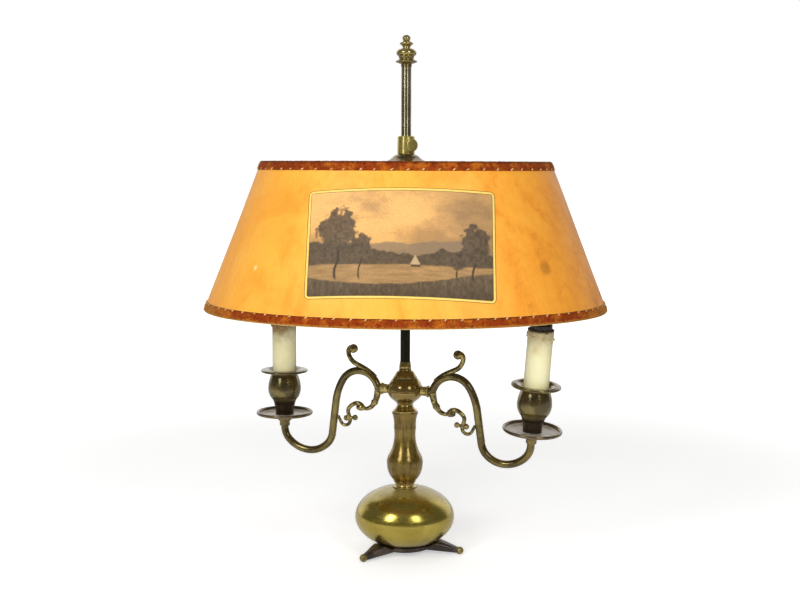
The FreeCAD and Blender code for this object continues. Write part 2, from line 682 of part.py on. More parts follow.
def make_ball():
    """The hollow flattened ball with its seats and the hole for the lead."""
    outside = primitive("Ellipsoid", "ball_outside",
                        {"Radius1": "ball_half_height", "Radius2": "ball_radius", "Radius3": "ball_radius"},
                        "ball_centre")
    inside = primitive("Ellipsoid", "ball_inside",
                       {"Radius1": "ball_half_height - ball_wall", "Radius2": "ball_radius - ball_wall",
                        "Radius3": "ball_radius - ball_wall"}, "ball_centre")
    under = primitive("Cylinder", "ball_under", {"Radius": "ball_radius", "Height": "ball_seat + 1"}, "-1")
    over = primitive("Cylinder", "ball_over", {"Radius": "ball_radius", "Height": "ball_half_height"},
                     "collar_bottom")
    hole = primitive("Cylinder", "ball_top_hole", {"Radius": "pipe_hole", "Height": "ball_half_height * 2"},
                     "ball_centre")
    inlet = primitive("Cylinder", "ball_inlet_hole",
                      {"Radius": "inlet_radius", "Height": "ball_radius"}, "ball_centre")
    inlet.Placement.Rotation = FreeCAD.Rotation(vector(1, 0, 0), -90)
    keep(cut("ball_body", outside, inside, under, over, hole, inlet))


def make_inlet_bush():
    """The plain bush at the back of the ball, where a mains lead comes in."""
    def along_back(name, radius, start, end):
        rod = primitive("Cylinder", name, {"Radius": radius, "Height": f"{end} - ({start})"}, "ball_centre")
        rod.Placement.Rotation = FreeCAD.Rotation(vector(1, 0, 0), -90)
        bind(rod, "Placement.Base.y", start)
        return rod
    flange = along_back("bush_flange", "bush_flange_radius", "ball_radius - 2 * ball_wall",
                        "ball_radius + bush_flange_proud")
    ball = primitive("Ellipsoid", "bush_seat",
                     {"Radius1": "ball_half_height", "Radius2": "ball_radius", "Radius3": "ball_radius"},
                     "ball_centre")
    neck = along_back("bush_neck", "inlet_radius - fit_gap", "ball_radius - bush_length", "ball_radius + fit_gap")
    bore = along_back("bush_bore", "lead_radius + seat_gap", "0", "ball_radius + 2 * bush_flange_proud")
    seated = cut("bush_seated", flange, ball)
    keep(cut("inlet_bush", fuse("bush_whole", seated, neck), bore))


def make_ballast():
    """The iron weight in the bottom of the ball."""
    turned("ballast_weight", [("pipe_hole", "ball_seat"), ("ballast_bottom_radius", "ball_seat"),
                              ("ballast_top_radius", "ball_seat + ballast_height"),
                              ("pipe_hole", "ball_seat + ballast_height")])


# Column

def make_pipe():
    """The threaded pipe with the slot where the lead enters it."""
    tube = primitive("Cylinder", "pipe_outside",
                     {"Radius": "pipe_radius", "Height": "block_bottom - pipe_bottom"}, "pipe_bottom")
    bore = primitive("Cylinder", "pipe_inside",
                     {"Radius": "pipe_bore", "Height": "block_bottom - pipe_bottom + 2"}, "pipe_bottom - 1")
    slot = primitive("Box", "pipe_slot",
                     {"Length": "pipe_slot_width", "Width": "pipe_radius * 2",
                      "Height": "lead_bend + 2 * lead_radius"}, "ball_centre - 1.5 * lead_radius")
    bind(slot, "Placement.Base.x", "-pipe_slot_width / 2")
    keep(cut("threaded_pipe", tube, bore, slot))


def make_lead():
    """The mains lead inside the lamp, from the bush to the terminal block."""
    body = new_body("mains_lead")
    bend = "lead_bend"
    corners = [("ball_radius - 1", "ball_centre"), (bend, "ball_centre", "-" + bend),
               ("0", f"ball_centre + {bend}"), ("0", "block_bottom")]
    spine = new_sketch(body, "mains_lead_path", "YZ_Plane")
    draw(spine, corners, closed=False)
    profile = new_sketch(body, "mains_lead_section", "XZ_Plane", "-(ball_radius - 1)")
    circle_on(profile, "lead_radius", "0", "ball_centre")
    doc.recompute()
    sweep = body.newObject("PartDesign::AdditivePipe", "mains_lead_pipe")
    sweep.Profile = profile
    sweep.Spine = (spine, [])
    body.Tip = sweep


def make_column():
    """Neck collar and baluster, turned and hollow."""
    waist = "collar_bottom + collar_waist_height"
    turned("neck_collar", [("pipe_hole", "collar_bottom"), ("collar_foot_radius", "collar_bottom"),
                           ("collar_foot_radius", "collar_bottom + collar_foot_height", -0.22),
                           ("collar_waist_radius", waist, -0.1),
                           ("baluster_stub_radius", "baluster_bottom"), ("pipe_hole", "baluster_bottom")])
    base = "baluster_bottom"
    flange = "baluster_top - baluster_flange_height"
    turned("baluster", [
        ("pipe_hole", base),
        ("baluster_stub_radius", base),
        ("baluster_stub_radius", f"{base} + baluster_bead_height / 2"),
        ("baluster_bead_radius", f"{base} + baluster_bead_height"),
        ("baluster_stub_radius", f"{base} + baluster_groove_height"),
        ("baluster_foot_radius", f"{base} + baluster_foot_height", 0.09),
        ("baluster_belly_radius", f"{base} + baluster_belly_height", 0.09),
        ("baluster_shoulder_radius", f"{base} + baluster_shoulder_height", -0.085),
        ("baluster_waist_radius", f"{base} + baluster_waist_height", -0.05),
        ("baluster_neck_radius", flange),
        ("baluster_flange_radius", flange),
        ("baluster_flange_radius", "baluster_top"),
        ("pipe_hole", "baluster_top"),
        ("pipe_hole", "baluster_top - baluster_web"),
        ("baluster_waist_radius - baluster_wall", "baluster_top - baluster_web"),
        ("baluster_waist_radius - baluster_wall", f"{base} + baluster_web"),
        ("pipe_hole", f"{base} + baluster_web"),
    ])


def make_hub():
    """The round hollow hub that carries both arms, and the terminal block inside it."""
    base = "baluster_top"
    groove_low = "groove_middle - groove_width / 2"
    groove_high = "groove_middle + groove_width / 2"

    def on_round(height):
        return f"sqrt(hub_radius^2 - ({height} - hub_centre)^2)"
    cavity_top = "sqrt(hub_cavity_radius^2 - hub_opening_radius^2)"
    body = turned("arm_hub", [
        ("pipe_hole", base),
        ("hub_foot_radius", base),
        ("hub_foot_radius", f"{base} + hub_foot_height", -0.08),
        ("hub_neck_radius", f"{base} + hub_neck_height"),
        ("hub_step_radius", f"{base} + hub_step_height"),
        ("hub_round_radius", "round_bottom", 0.117),
        (on_round(groove_low), groove_low),
        (on_round("groove_middle") + " - groove_depth", "groove_middle"),
        (on_round(groove_high), groove_high, "hub_radius"),
        ("hub_flat_radius", "hub_top"),
        ("hub_opening_radius", "hub_top"),
        ("hub_opening_radius", f"hub_centre + {cavity_top}", "-hub_cavity_radius"),
        ("hub_cavity_radius", "hub_centre", "-hub_cavity_radius"),
        (f"sqrt(hub_cavity_radius^2 - (hub_centre - hub_floor)^2)", "hub_floor"),
        ("pipe_hole", "hub_floor"),
    ])
    doc.recompute()
    before = body.Shape.Volume
    holes = new_sketch(body, "arm_hub_holes", "YZ_Plane")
    circle_on(holes, "nipple_stub_radius + fit_gap", "0", "arm_height")
    bore = body.newObject("PartDesign::Pocket", "arm_hub_bores")
    bore.Profile = holes
    bore.Type = "ThroughAll"
    bore.Midplane = True
    body.Tip = bore
    doc.recompute()
    if body.Shape.Volume >= before:
        raise RuntimeError("the holes for the arms cut nothing")
    body.Placement = arm_placement("right")
    hex_nut("column_nut", "column_nut_across_flats", "column_nut_height", "hub_floor", "pipe_hole")
    block = primitive("Box", "terminal_block",
                      {"Length": "block_length", "Width": "block_width", "Height": "block_height"},
                      "block_bottom")
    turn = number("arm_heading")
    block.Placement = FreeCAD.Placement(vector(0, 0, 0), FreeCAD.Rotation(vector(0, 0, 1), turn)).multiply(
        FreeCAD.Placement(vector(-number("block_length") / 2, -number("block_width") / 2,
                                 number("block_bottom")), FreeCAD.Rotation()))
    bind(block, "Placement.Base.z", "block_bottom")
    keep(block)


def make_rod():
    """Hub cap, ferrule, rod with its threaded ends, nut and finial."""
    turned("hub_cap", [
        ("stud_hole", "cap_bottom"),
        ("hub_opening_radius - fit_gap", "cap_bottom"),
        ("hub_opening_radius - fit_gap", "hub_top"),
        ("cap_rim_radius", "hub_top", 0.25),
        ("cap_rim_radius", "hub_top + cap_rim_height"),
        ("cap_groove_radius - 0.3", "hub_top + cap_rim_height + 0.3"),
        ("cap_groove_radius", "hub_top + cap_groove_height", 0.03),
        ("cap_top_radius", "cap_top"),
        ("rod_hole", "cap_top"),
        ("rod_hole", "rod_bottom"),
        ("stud_hole", "rod_bottom"),
    ])
    hex_nut("rod_nut", "rod_nut_across_flats", "rod_nut_height", "cap_bottom - rod_nut_height", "stud_hole")
    turned("rod_ferrule", [
        ("rod_hole", "cap_top"),
        ("ferrule_foot_radius", "cap_top", -0.08),
        ("ferrule_mid_radius", "cap_top + ferrule_mid_height", -0.03),
        ("ferrule_top_radius", "cap_top + ferrule_height"),
        ("rod_hole", "cap_top + ferrule_height"),
    ])
    turned("rod", [
        ("0", "rod_bottom - rod_stud_length"),
        ("stud_radius", "rod_bottom - rod_stud_length"),
        ("stud_radius", "rod_bottom"),
        ("rod_radius", "rod_bottom"),
        ("rod_radius", "rod_top"),
        ("stud_radius", "rod_top"),
        ("stud_radius", "rod_top + finial_stud_length"),
        ("0", "rod_top + finial_stud_length"),
    ])
    base = "rod_top"
    turned("finial", [
        ("rod_hole", f"{base} - finial_skirt_height"),
        ("finial_skirt_radius", f"{base} - finial_skirt_height"),
        ("finial_skirt_radius", base),
        ("finial_flange_radius - finial_edge", f"{base} + finial_flange_height - finial_edge", 0.15),
        ("finial_flange_radius", f"{base} + finial_flange_height", 0.15),
        ("finial_flange_radius - finial_edge", f"{base} + finial_flange_height + finial_edge", -0.1),
        ("finial_cone_radius", f"{base} + finial_cone_height"),
        ("finial_throat_radius", f"{base} + finial_throat_height", -0.1),
        ("finial_shoulder_radius", f"{base} + finial_shoulder_height", 0.1),
        ("finial_ring_radius", f"{base} + finial_ring_height", 0.17),
        ("finial_neck_radius + finial_edge", f"{base} + finial_neck_height - finial_edge", -0.15),
        ("finial_neck_radius", f"{base} + finial_neck_height", -0.1),
        ("finial_disc_radius - finial_edge / 2", f"{base} + finial_disc_height - finial_edge", 0.25),
        ("finial_disc_radius - finial_edge / 2", f"{base} + finial_disc_height + finial_edge", -0.1),
        ("finial_throat_two_radius", f"{base} + finial_throat_two_height", 0.12),
        ("finial_bead_radius", f"{base} + finial_bead_height",
         dome_radius("finial_bead_radius", "finial_height - finial_bead_height")),
        ("0", f"{base} + finial_height"),
        ("0", f"{base} + finial_stud_length + seat_gap"),
        ("stud_hole", f"{base} + finial_stud_length + seat_gap"),
        ("stud_hole", base),
        ("rod_hole", base),
    ])


# Arms

def arm_placement(side):
    """Turns a piece that is drawn in the XZ plane into the plane of its arm."""
    turn = number("arm_heading") + (180 if side == "left" else 0)
    return FreeCAD.Placement(vector(0, 0, 0), FreeCAD.Rotation(vector(0, 0, 1), turn))


def twisted_placement(side):
    """The plane of an arm, turned a little about the axis of its nipple."""
    twist = FreeCAD.Placement(vector(0, 0, 0), FreeCAD.Rotation(vector(1, 0, 0), number(f"{side}_twist")),
                              vector(0, 0, number("arm_height")))
    return arm_placement(side).multiply(twist)


def arm_steps(side):
    """Runs and bends of an arm, from the nipple to the drip pan."""
    return [
        ("bend", "elbow_bend", "elbow_turn"),
        ("bend", "arch_bend", "(-elbow_turn)"),
        ("bend", "crest_bend", "(-crest_turn)"),
        ("bend", "flank_bend", "(-flank_turn)"),
        ("run", f"{side}_drop"),
        ("bend", "heel_bend", "heel_turn"),
        ("bend", f"{side}_bowl", "(crest_turn + flank_turn - heel_turn)"),
        ("bend", f"{side}_rise", "rise_turn"),
        ("bend", "tip_bend", f"(90 - rise_turn - {side}_lean)"),
        ("run", f"{side}_run"),
    ]


def arm_end(side):
    """Where an arm ends, in its own plane."""
    return path_corners(("arm_start", "arm_height"), "0", arm_steps(side))[-1]


def candle_placement(side):
    """Stands a piece on the end of its arm, leaning with it."""
    x_text, z_text = arm_end(side)
    lean = FreeCAD.Rotation(vector(0, 1, 0), number(f"{side}_lean"))
    end = FreeCAD.Placement(vector(number(x_text), 0, number(z_text)), lean)
    return twisted_placement(side).multiply(end)


def make_nipple(side):
    """The waisted brass nipple between hub and arm, turned about its own axis."""
    shoulder = "sqrt(hub_radius^2 - (nipple_stub_radius - arm_height_drop)^2)"
    inner = "sqrt(hub_cavity_radius^2 - nipple_stub_radius^2)"
    lying = FreeCAD.Placement(vector(0, 0, number("arm_height")), FreeCAD.Rotation(vector(0, 1, 0), 90))
    turned("arm_nipple_" + side, [
        ("nipple_bore", f"{inner} - fit_gap"),
        ("nipple_stub_radius", f"{inner} - fit_gap"),
        ("nipple_stub_radius", f"{shoulder} + fit_gap"),
        ("nipple_hub_radius", f"{shoulder} + fit_gap", -0.1),
        ("nipple_waist_radius", f"{shoulder} + nipple_waist_place", -0.1),
        ("nipple_flare_radius", "arm_start - nipple_edge", 0.15),
        ("nipple_flare_radius - nipple_edge / 2", "arm_start"),
        ("nipple_bore", "arm_start"),
    ], arm_placement(side).multiply(lying))


def make_arm(side):
    """The bent tube of an arm, hollow for its lead."""
    body = new_body("arm_tube_" + side)
    corners = path_corners(("arm_start", "arm_height"), "0", arm_steps(side))
    pipe(body, "arm_tube_" + side, "XZ_Plane", corners, ["arm_tube_radius", "arm_tube_bore"],
         "YZ_Plane", ("arm_start", "0", "arm_height"))
    body.Placement = twisted_placement(side)
    return body


def make_arm_lead(side):
    """The lead from the terminal block, through the arm, to the lampholder."""
    body = new_body("arm_lead_" + side)
    start = "block_length / 2"
    steps = [("run", f"(arm_start - {start})")] + arm_steps(side)[:-1]
    steps.append(("run", f"({side}_run + candle_pipe_length + 4)"))
    corners = path_corners((start, "arm_height"), "0", steps)
    pipe(body, "arm_lead_" + side, "XZ_Plane", corners, ["arm_lead_radius"],
         "YZ_Plane", (start, "0", "arm_height"))
    body.Placement = twisted_placement(side)


def arc_chain(points, heading):
    """A smooth wire of tangent arcs through points in the XZ plane."""
    direction = vector(math.cos(math.radians(heading)), 0, math.sin(math.radians(heading)))
    edges = []
    for (x_one, z_one), (x_two, z_two) in zip(points, points[1:]):
        start = vector(x_one, 0, z_one)
        end = vector(x_two, 0, z_two)
        chord = end - start
        leave = chord.normalize() * 2 * direction.dot(chord) - direction
        middle_way = direction - leave
        if middle_way.Length < 1e-6:
            edges.append(Part.LineSegment(start, end).toShape())
            continue
        half_turn = math.acos(max(-1.0, min(1.0, direction.dot(chord))))
        span = (end - start).Length
        rise = span / 2 * math.tan(half_turn / 2)
        middle = (start + end) * 0.5 + middle_way.normalize() * rise
        edges.append(Part.Arc(start, middle, end).toShape())
        direction = leave
    return Part.Wire(edges)


def bent_bar(points, heading, radius):
    """A round bar of even thickness along a chain of arcs."""
    pieces = []
    for edge in arc_chain(points, heading).Edges:
        start = edge.valueAt(edge.FirstParameter)
        way = edge.tangentAt(edge.FirstParameter)
        disc = Part.Face(Part.Wire(Part.makeCircle(radius, start, way)))
        if isinstance(edge.Curve, Part.Circle):
            turn = math.degrees(edge.LastParameter - edge.FirstParameter)
            pieces.append(disc.revolve(edge.Curve.Center, edge.Curve.Axis, turn))
        else:
            pieces.append(disc.extrude(edge.valueAt(edge.LastParameter) - start))
    return pieces[0].fuse(pieces[1:]) if len(pieces) > 1 else pieces[0]


def tapered_bar(points, heading, first_radius, last_radius):
    """A round bar along a chain of arcs that gets thinner or thicker towards its end."""
    spine = arc_chain(points, heading)
    way = vector(math.cos(math.radians(heading)), 0, math.sin(math.radians(heading)))
    shell = Part.BRepOffsetAPI.MakePipeShell(spine)
    shell.setFrenetMode(False)
    shell.add(Part.Wire(Part.makeCircle(first_radius, spine.Edges[0].Vertexes[0].Point, way)))
    last = spine.Edges[-1]
    away = last.tangentAt(last.LastParameter)
    shell.add(Part.Wire(Part.makeCircle(last_radius, last.valueAt(last.LastParameter), away)))
    shell.build()
    shell.makeSolid()
    return shell.shape()


def ball_at(radius, x, z):
    return Part.makeSphere(radius, vector(x, 0, z), vector(0, 1, 0))


def arm_point(x, z):
    """A point of a scroll, which moves with the nipple's end when the sizes change."""
    return (x + number("arm_start") - 25.5, z + number("arm_height") - 166.0)


def arch_solid():
    """The arch of an arm's tube without its bore, in its own plane, to fit the scrolls against."""
    corners = path_corners(("arm_start", "arm_height"), "0", arm_steps("left")[:5])
    edges = []
    for start, end in zip(corners, corners[1:]):
        one = vector(number(start[0]), number(start[1]), 0)
        two = vector(number(end[0]), number(end[1]), 0)
        if len(start) > 2 and start[2]:
            radius = number(start[2].lstrip("-"))
            edges.append(arc_between(one, two, radius, turns_left(start[2])).toShape())
        else:
            edges.append(Part.LineSegment(one, two).toShape())
    spine = Part.Wire(edges)
    spine.rotate(vector(0, 0, 0), vector(1, 0, 0), 90)
    start = vector(number("arm_start"), 0, number("arm_height"))
    ring = Part.Wire(Part.makeCircle(number("arm_tube_radius"), start, vector(1, 0, 0)))
    return spine.makePipeShell([ring], True, False)


def make_scrolls():
    """The upper scroll with its ball and the lower leaf scroll, brazed to both tubes."""
    tube = arch_solid()
    tail = bent_bar([arm_point(*p) for p in ((32.6, 176.7), (47.5, 187.0), (54.3, 190.2), (62.1, 202.4),
                                             (58.5, 207.0))],
                    45, number("tail_radius"))
    tail = tail.fuse(ball_at(number("tail_ball_radius"), *arm_point(56.5, 205.3)))
    leaf = tapered_bar([arm_point(*p) for p in ((29.3, 165.6), (31.5, 154.4), (36.0, 146.9), (43.8, 143.6))],
                       -86, number("leaf_radius"), number("leaf_tip_radius"))
    stem = tapered_bar([arm_point(*p) for p in ((46.6, 145.6), (50.6, 148.5), (56.2, 147.7), (61.0, 143.9),
                                                (62.3, 138.0), (60.6, 133.0), (60.7, 128.2), (65.2, 124.9),
                                                (70.2, 127.6), (73.8, 134.2))],
                       60, number("stem_radius"), number("stem_tip_radius"))
    bud = Part.makeSphere(1)
    shape = FreeCAD.Matrix()
    shape.scale(number("bud_long_radius"), number("bud_short_radius"), number("bud_short_radius"))
    bud = bud.transformGeometry(shape)
    bud_x, bud_z = arm_point(48.3, 144.4)
    bud.translate(vector(bud_x, 0, bud_z))
    lower = leaf.fuse([bud, stem])
    balls = [ball_at(number("bud_ball_radius"), *arm_point(x, z)) for x, z in ((54.7, 133.5), (64.5, 132.5))]
    link = bent_bar([arm_point(54.7, 133.5), arm_point(64.5, 132.5)], -5.83, number("stem_tip_radius"))
    lower = lower.fuse(balls + [link])
    for name, form in (("upper_scroll_", tail), ("lower_scroll_", lower)):
        fitted = form.cut(tube)
        for side in ("right", "left"):
            feature = doc.addObject("Part::Feature", name + side)
            feature.Shape = fitted
            feature.Placement = twisted_placement(side)
            keep(feature)


# Candles

def make_candle(side):
    """End ferrule, drip pan, cup, candle pipe, lampholder, screw shell and sleeve."""
    place = candle_placement(side)
    tube_hole = "arm_tube_radius + fit_gap"
    turned("end_ferrule_" + side, [
        (tube_hole, "-socket_drop"),
        ("socket_radius - 0.6", "-socket_drop"),
        ("socket_radius", "-socket_drop + 0.8"),
        ("socket_radius", "-socket_flange_drop - 1.6", -0.1),
        ("socket_flange_radius", "-socket_flange_drop"),
        ("socket_flange_radius", "socket_flange_height"),
        ("candle_pipe_hole", "socket_flange_height"),
        ("candle_pipe_hole", "socket_web"),
        (tube_hole, "socket_web"),
    ], place)
    low = "socket_flange_height"
    edge = "pan_radius - 2 * pan_bead_radius"
    rim = "socket_flange_height + pan_rise + pan_bead_radius"
    turned("drip_pan_" + side, [
        ("candle_pipe_hole", low),
        ("pan_flat_radius", low, 0.04),
        (edge, f"{rim} - pan_bead_radius - 0.4"),
        ("pan_radius - pan_bead_radius", f"{rim} - pan_bead_radius", "pan_bead_radius"),
        ("pan_radius", rim, "pan_bead_radius"),
        ("pan_radius - pan_bead_radius", f"{rim} + pan_bead_radius", 0.15),
        (edge, f"{rim} - pan_bead_radius + pan_thickness - 0.2", -0.04),
        ("pan_flat_radius", f"{low} + pan_thickness"),
        ("candle_pipe_hole", f"{low} + pan_thickness"),
    ], place)
    base = "cup_bottom"
    top = f"{base} + cup_height"
    turned("candle_cup_" + side, [
        ("candle_pipe_hole", base),
        ("cup_base_radius", base),
        ("cup_base_radius", f"{base} + cup_base_height", -0.06),
        ("cup_shoulder_radius", f"{base} + cup_shoulder_height", -0.05),
        ("cup_waist_radius", f"{base} + cup_waist_height", 0.1),
        ("cup_belly_radius", f"{base} + cup_belly_height", 0.05),
        ("cup_throat_radius", f"{base} + cup_throat_height", -0.2),
        ("cup_lip_radius", f"{top} - cup_lip_height"),
        ("cup_lip_radius", top),
        ("cup_lip_radius - cup_wall", top, 0.18),
        ("sleeve_radius + seat_gap", f"{base} + cup_throat_height + cup_wall", -0.05),
        ("cup_belly_radius - cup_wall", f"{base} + cup_belly_height", -0.06),
        ("sleeve_radius + seat_gap", "sleeve_foot"),
        ("cup_waist_radius - cup_wall", "sleeve_foot"),
        ("cup_waist_radius - cup_wall", f"{base} + cup_waist_height"),
        ("cup_shoulder_radius - cup_wall", f"{base} + cup_shoulder_height"),
        ("cup_base_radius - 1.2 * cup_wall", f"{base} + cup_floor"),
        ("candle_pipe_hole", f"{base} + cup_floor"),
    ], place)
    turned("candle_pipe_" + side, [
        ("candle_pipe_bore", "socket_web"),
        ("candle_pipe_radius", "socket_web"),
        ("candle_pipe_radius", "candle_pipe_length"),
        ("candle_pipe_bore", "candle_pipe_length"),
    ], place)
    turned("lampholder_" + side, [
        ("candle_pipe_hole", "holder_bottom"),
        ("holder_radius - 1", "holder_bottom"),
        ("holder_radius", "holder_bottom + 1"),
        ("holder_radius", "holder_top - holder_rim_height"),
        ("holder_rim_radius", "holder_top"),
        ("holder_bore", "holder_top"),
        ("holder_bore", "shell_bottom"),
        ("holder_core", "shell_bottom"),
        ("holder_core", "holder_bottom + holder_floor"),
        ("candle_pipe_hole", "holder_bottom + holder_floor"),
    ], place)
    shell_outside = "shell_bore + shell_wall"
    turned("screw_shell_" + side, [
        ("shell_bore", "shell_bottom"),
        ("holder_bore - fit_gap", "shell_bottom"),
        ("holder_bore - fit_gap", "shell_bottom + 1"),
        (shell_outside, "shell_bottom + 1"),
        (shell_outside, "shell_top"),
        ("shell_bore", "shell_top"),
    ], place)
    turned("candle_sleeve_" + side, [
        ("sleeve_bore", "sleeve_foot"),
        ("sleeve_radius", "sleeve_foot"),
        ("sleeve_radius", "sleeve_top", 0.2),
        ("sleeve_bore", "sleeve_top"),
    ], place)
    return hex_nut("cup_nut_" + side, "cup_nut_across_flats", "cup_nut_height",
                   "cup_bottom + cup_floor", "candle_pipe_hole", place)


# Shade and its carrier

def make_clamp():
    """The collar that slides on the rod, its ring nut and its thumb screw."""
    turned("shade_clamp", [
        ("rod_hole", "spigot_bottom"),
        ("spigot_radius", "spigot_bottom"),
        ("spigot_radius", "clamp_bottom"),
        ("clamp_radius", "clamp_bottom"),
        ("clamp_radius", "clamp_top - clamp_chamfer"),
        ("clamp_radius - clamp_chamfer", "clamp_top"),
        ("rod_hole", "clamp_top"),
    ])
    body = NODES[-1]
    doc.recompute()
    before = body.Shape.Volume
    hole = new_sketch(body, "screw_hole", "YZ_Plane")
    circle_on(hole, "screw_radius + fit_gap", "0", "clamp_bottom + screw_height")
    bore = body.newObject("PartDesign::Pocket", "screw_bore")
    bore.Profile = hole
    bind(bore, "Length", "clamp_radius + 1")
    bore.Reversed = True
    body.Tip = bore
    doc.recompute()
    if body.Shape.Volume >= before:
        raise RuntimeError("the hole for the thumb screw cuts nothing")
    heading = FreeCAD.Rotation(vector(0, 0, 1), number("screw_heading"))
    body.Placement.Rotation = heading
    turned("clamp_ring", [
        ("spigot_hole", "spigot_bottom"),
        ("lock_ring_radius", "spigot_bottom"),
        ("lock_ring_radius", "spider_bottom"),
        ("spigot_hole", "spider_bottom"),
    ])
    lying = FreeCAD.Placement(vector(0, 0, number("clamp_bottom + screw_height")),
                              FreeCAD.Rotation(vector(0, 1, 0), 90))
    back = "screw_head_place"
    front = "screw_head_place + screw_head_thickness"
    turned("thumb_screw", [
        ("0", "rod_radius + seat_gap"),
        ("screw_radius", "rod_radius + seat_gap"),
        ("screw_radius", f"clamp_radius + seat_gap"),
        ("screw_neck_radius", "clamp_radius + seat_gap"),
        ("screw_neck_radius", back),
        ("screw_head_radius - screw_edge", back, 0.2),
        ("screw_head_radius", f"{back} + screw_edge"),
        ("screw_head_radius", f"{front} - screw_edge", 0.2),
        ("screw_head_radius - screw_edge", front,
         dome_radius("screw_head_radius - screw_edge", "screw_edge / 2")),
        ("0", f"{front} + screw_edge / 2"),
    ], FreeCAD.Placement(vector(0, 0, 0), heading).multiply(lying))


def make_spider():
    """Dome cap, and the fitter: its hub with four spokes, and the upper wire ring they are soldered to."""
    top = "clamp_bottom"
    turn = "clamp_bottom - dome_turn_drop"
    rim = "clamp_bottom - dome_height"
    turned("dome_cap", [
        ("spigot_hole", f"{top} - dome_wall"),
        ("dome_top_radius - dome_wall / 2", f"{top} - dome_wall", -0.07),
        ("dome_turn_radius - dome_wall / 2", f"{turn} - dome_wall", 0.08),
        ("dome_rim_radius", f"{rim} - dome_wall"),
        ("dome_rim_radius", rim, -0.08),
        ("dome_turn_radius", turn, 0.07),
        ("dome_top_radius", top),
        ("spigot_hole", top),
    ])
    hub = primitive("Cylinder", "fitter_hub", {"Radius": "spider_radius", "Height": "spider_height"},
                    "spider_bottom")
    spokes = []
    for name, side, angle in (("front", "short", -90), ("right", "long", 0), ("back", "short", 90),
                              ("left", "long", 180)):
        reach = shade_axis(side, "shade_top - trim_thickness - wire_radius - fit_gap",
                           "wire_inset + wire_radius + fit_gap")
        spoke = primitive("Cylinder", "spoke_" + name, {"Radius": "spoke_radius", "Height": reach},
                          "spoke_height")
        flat = FreeCAD.Rotation(vector(0, 1, 0), 90)
        spoke.Placement.Rotation = FreeCAD.Rotation(vector(0, 0, 1), angle).multiply(flat)
        spokes.append(spoke)
    keep(wire_ring("top_wire", "shade_top - trim_thickness - wire_radius - fit_gap"))
    whole = fuse("fitter_whole", hub, *spokes)
    hole = primitive("Cylinder", "fitter_hole", {"Radius": "spigot_hole", "Height": "spider_height * 2"},
                     "spider_bottom - spider_height / 2")
    keep(cut("shade_fitter", whole, hole))


def wire_ring(name, height):
    """A closed ring of round wire inside the shade."""
    path = shade_ring(name + "_path", height, "wire_inset")
    section = doc.addObject("Part::Circle", name + "_section")
    bind(section, "Radius", "wire_radius")
    section.Placement.Rotation = FreeCAD.Rotation(vector(1, 0, 0), 90)
    bind(section, "Placement.Base.x", shade_axis("long", height, "wire_inset"))
    bind(section, "Placement.Base.z", height)
    ring = doc.addObject("Part::Sweep", name)
    ring.Sections = [section]
    ring.Spine = (path, ["Edge1"])
    ring.Solid = True
    ring.Frenet = True
    return ring


def make_shade():
    """Parchment skin, wire rings and velvet edging."""
    skin_low = "shade_bottom + trim_thickness"
    skin_high = "shade_top - trim_thickness"
    outside = frustum("skin_outside", skin_low, skin_high, "trim_thickness")
    inside = frustum("skin_inside", "shade_bottom - 1", "shade_top + 1", "trim_thickness + skin_thickness")
    keep(cut("shade_skin", outside, inside))
    over = "shade_bottom + 2 * trim_height"
    under = "shade_top - 2 * trim_height"
    for name, low, high, plug_low, plug_high, open_low, open_high in (
            ("bottom_trim", "shade_bottom", "shade_bottom + trim_height", skin_low, over,
             "shade_bottom - 1", over),
            ("top_trim", "shade_top - trim_height", "shade_top", under, skin_high,
             under, "shade_top + 1")):
        band = frustum(name + "_band", low, high, "0")
        plug = frustum(name + "_plug", plug_low, plug_high, "trim_thickness")
        opening = frustum(name + "_opening", open_low, open_high, "wire_inset + wire_radius")
        keep(cut(name, band, plug, opening))
    keep(wire_ring("bottom_wire", "shade_bottom + trim_thickness + wire_radius + fit_gap"))


def build():
    """Makes every piece of the lamp."""
    make_foot()
    make_foot_fastening()
    make_ball()
    make_inlet_bush()
    make_ballast()
    make_pipe()
    make_lead()
    make_column()
    make_hub()
    make_rod()
    for side in ("right", "left"):
        make_nipple(side)
        make_arm(side)
        make_arm_lead(side)
        make_candle(side)
    make_scrolls()
    make_clamp()
    make_spider()
    make_shade()
    doc.recompute()


def check_and_export():
    """Stops at any broken object, and writes one STEP file per piece."""
    for thing in doc.Objects:
        if "Invalid" in thing.State or "Error" in thing.State:
            raise RuntimeError(f"{thing.Label} did not recompute: {thing.State}")
    os.makedirs("parts", exist_ok=True)
    for node in NODES:
        shape = node.Shape
        if shape.isNull() or not shape.isValid() or not shape.Solids:
            raise RuntimeError(f"{node.Label} has no valid solid")
        shape.exportStep(f"parts/{node.Label}.step")


build()
check_and_export()
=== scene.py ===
"""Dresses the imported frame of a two-arm bouillotte table lamp with an oval parchment shade."""
import logging
import math
from dataclasses import dataclass
from enum import Enum

import bmesh
import bpy
import numpy as np
from mathutils import Matrix, Vector


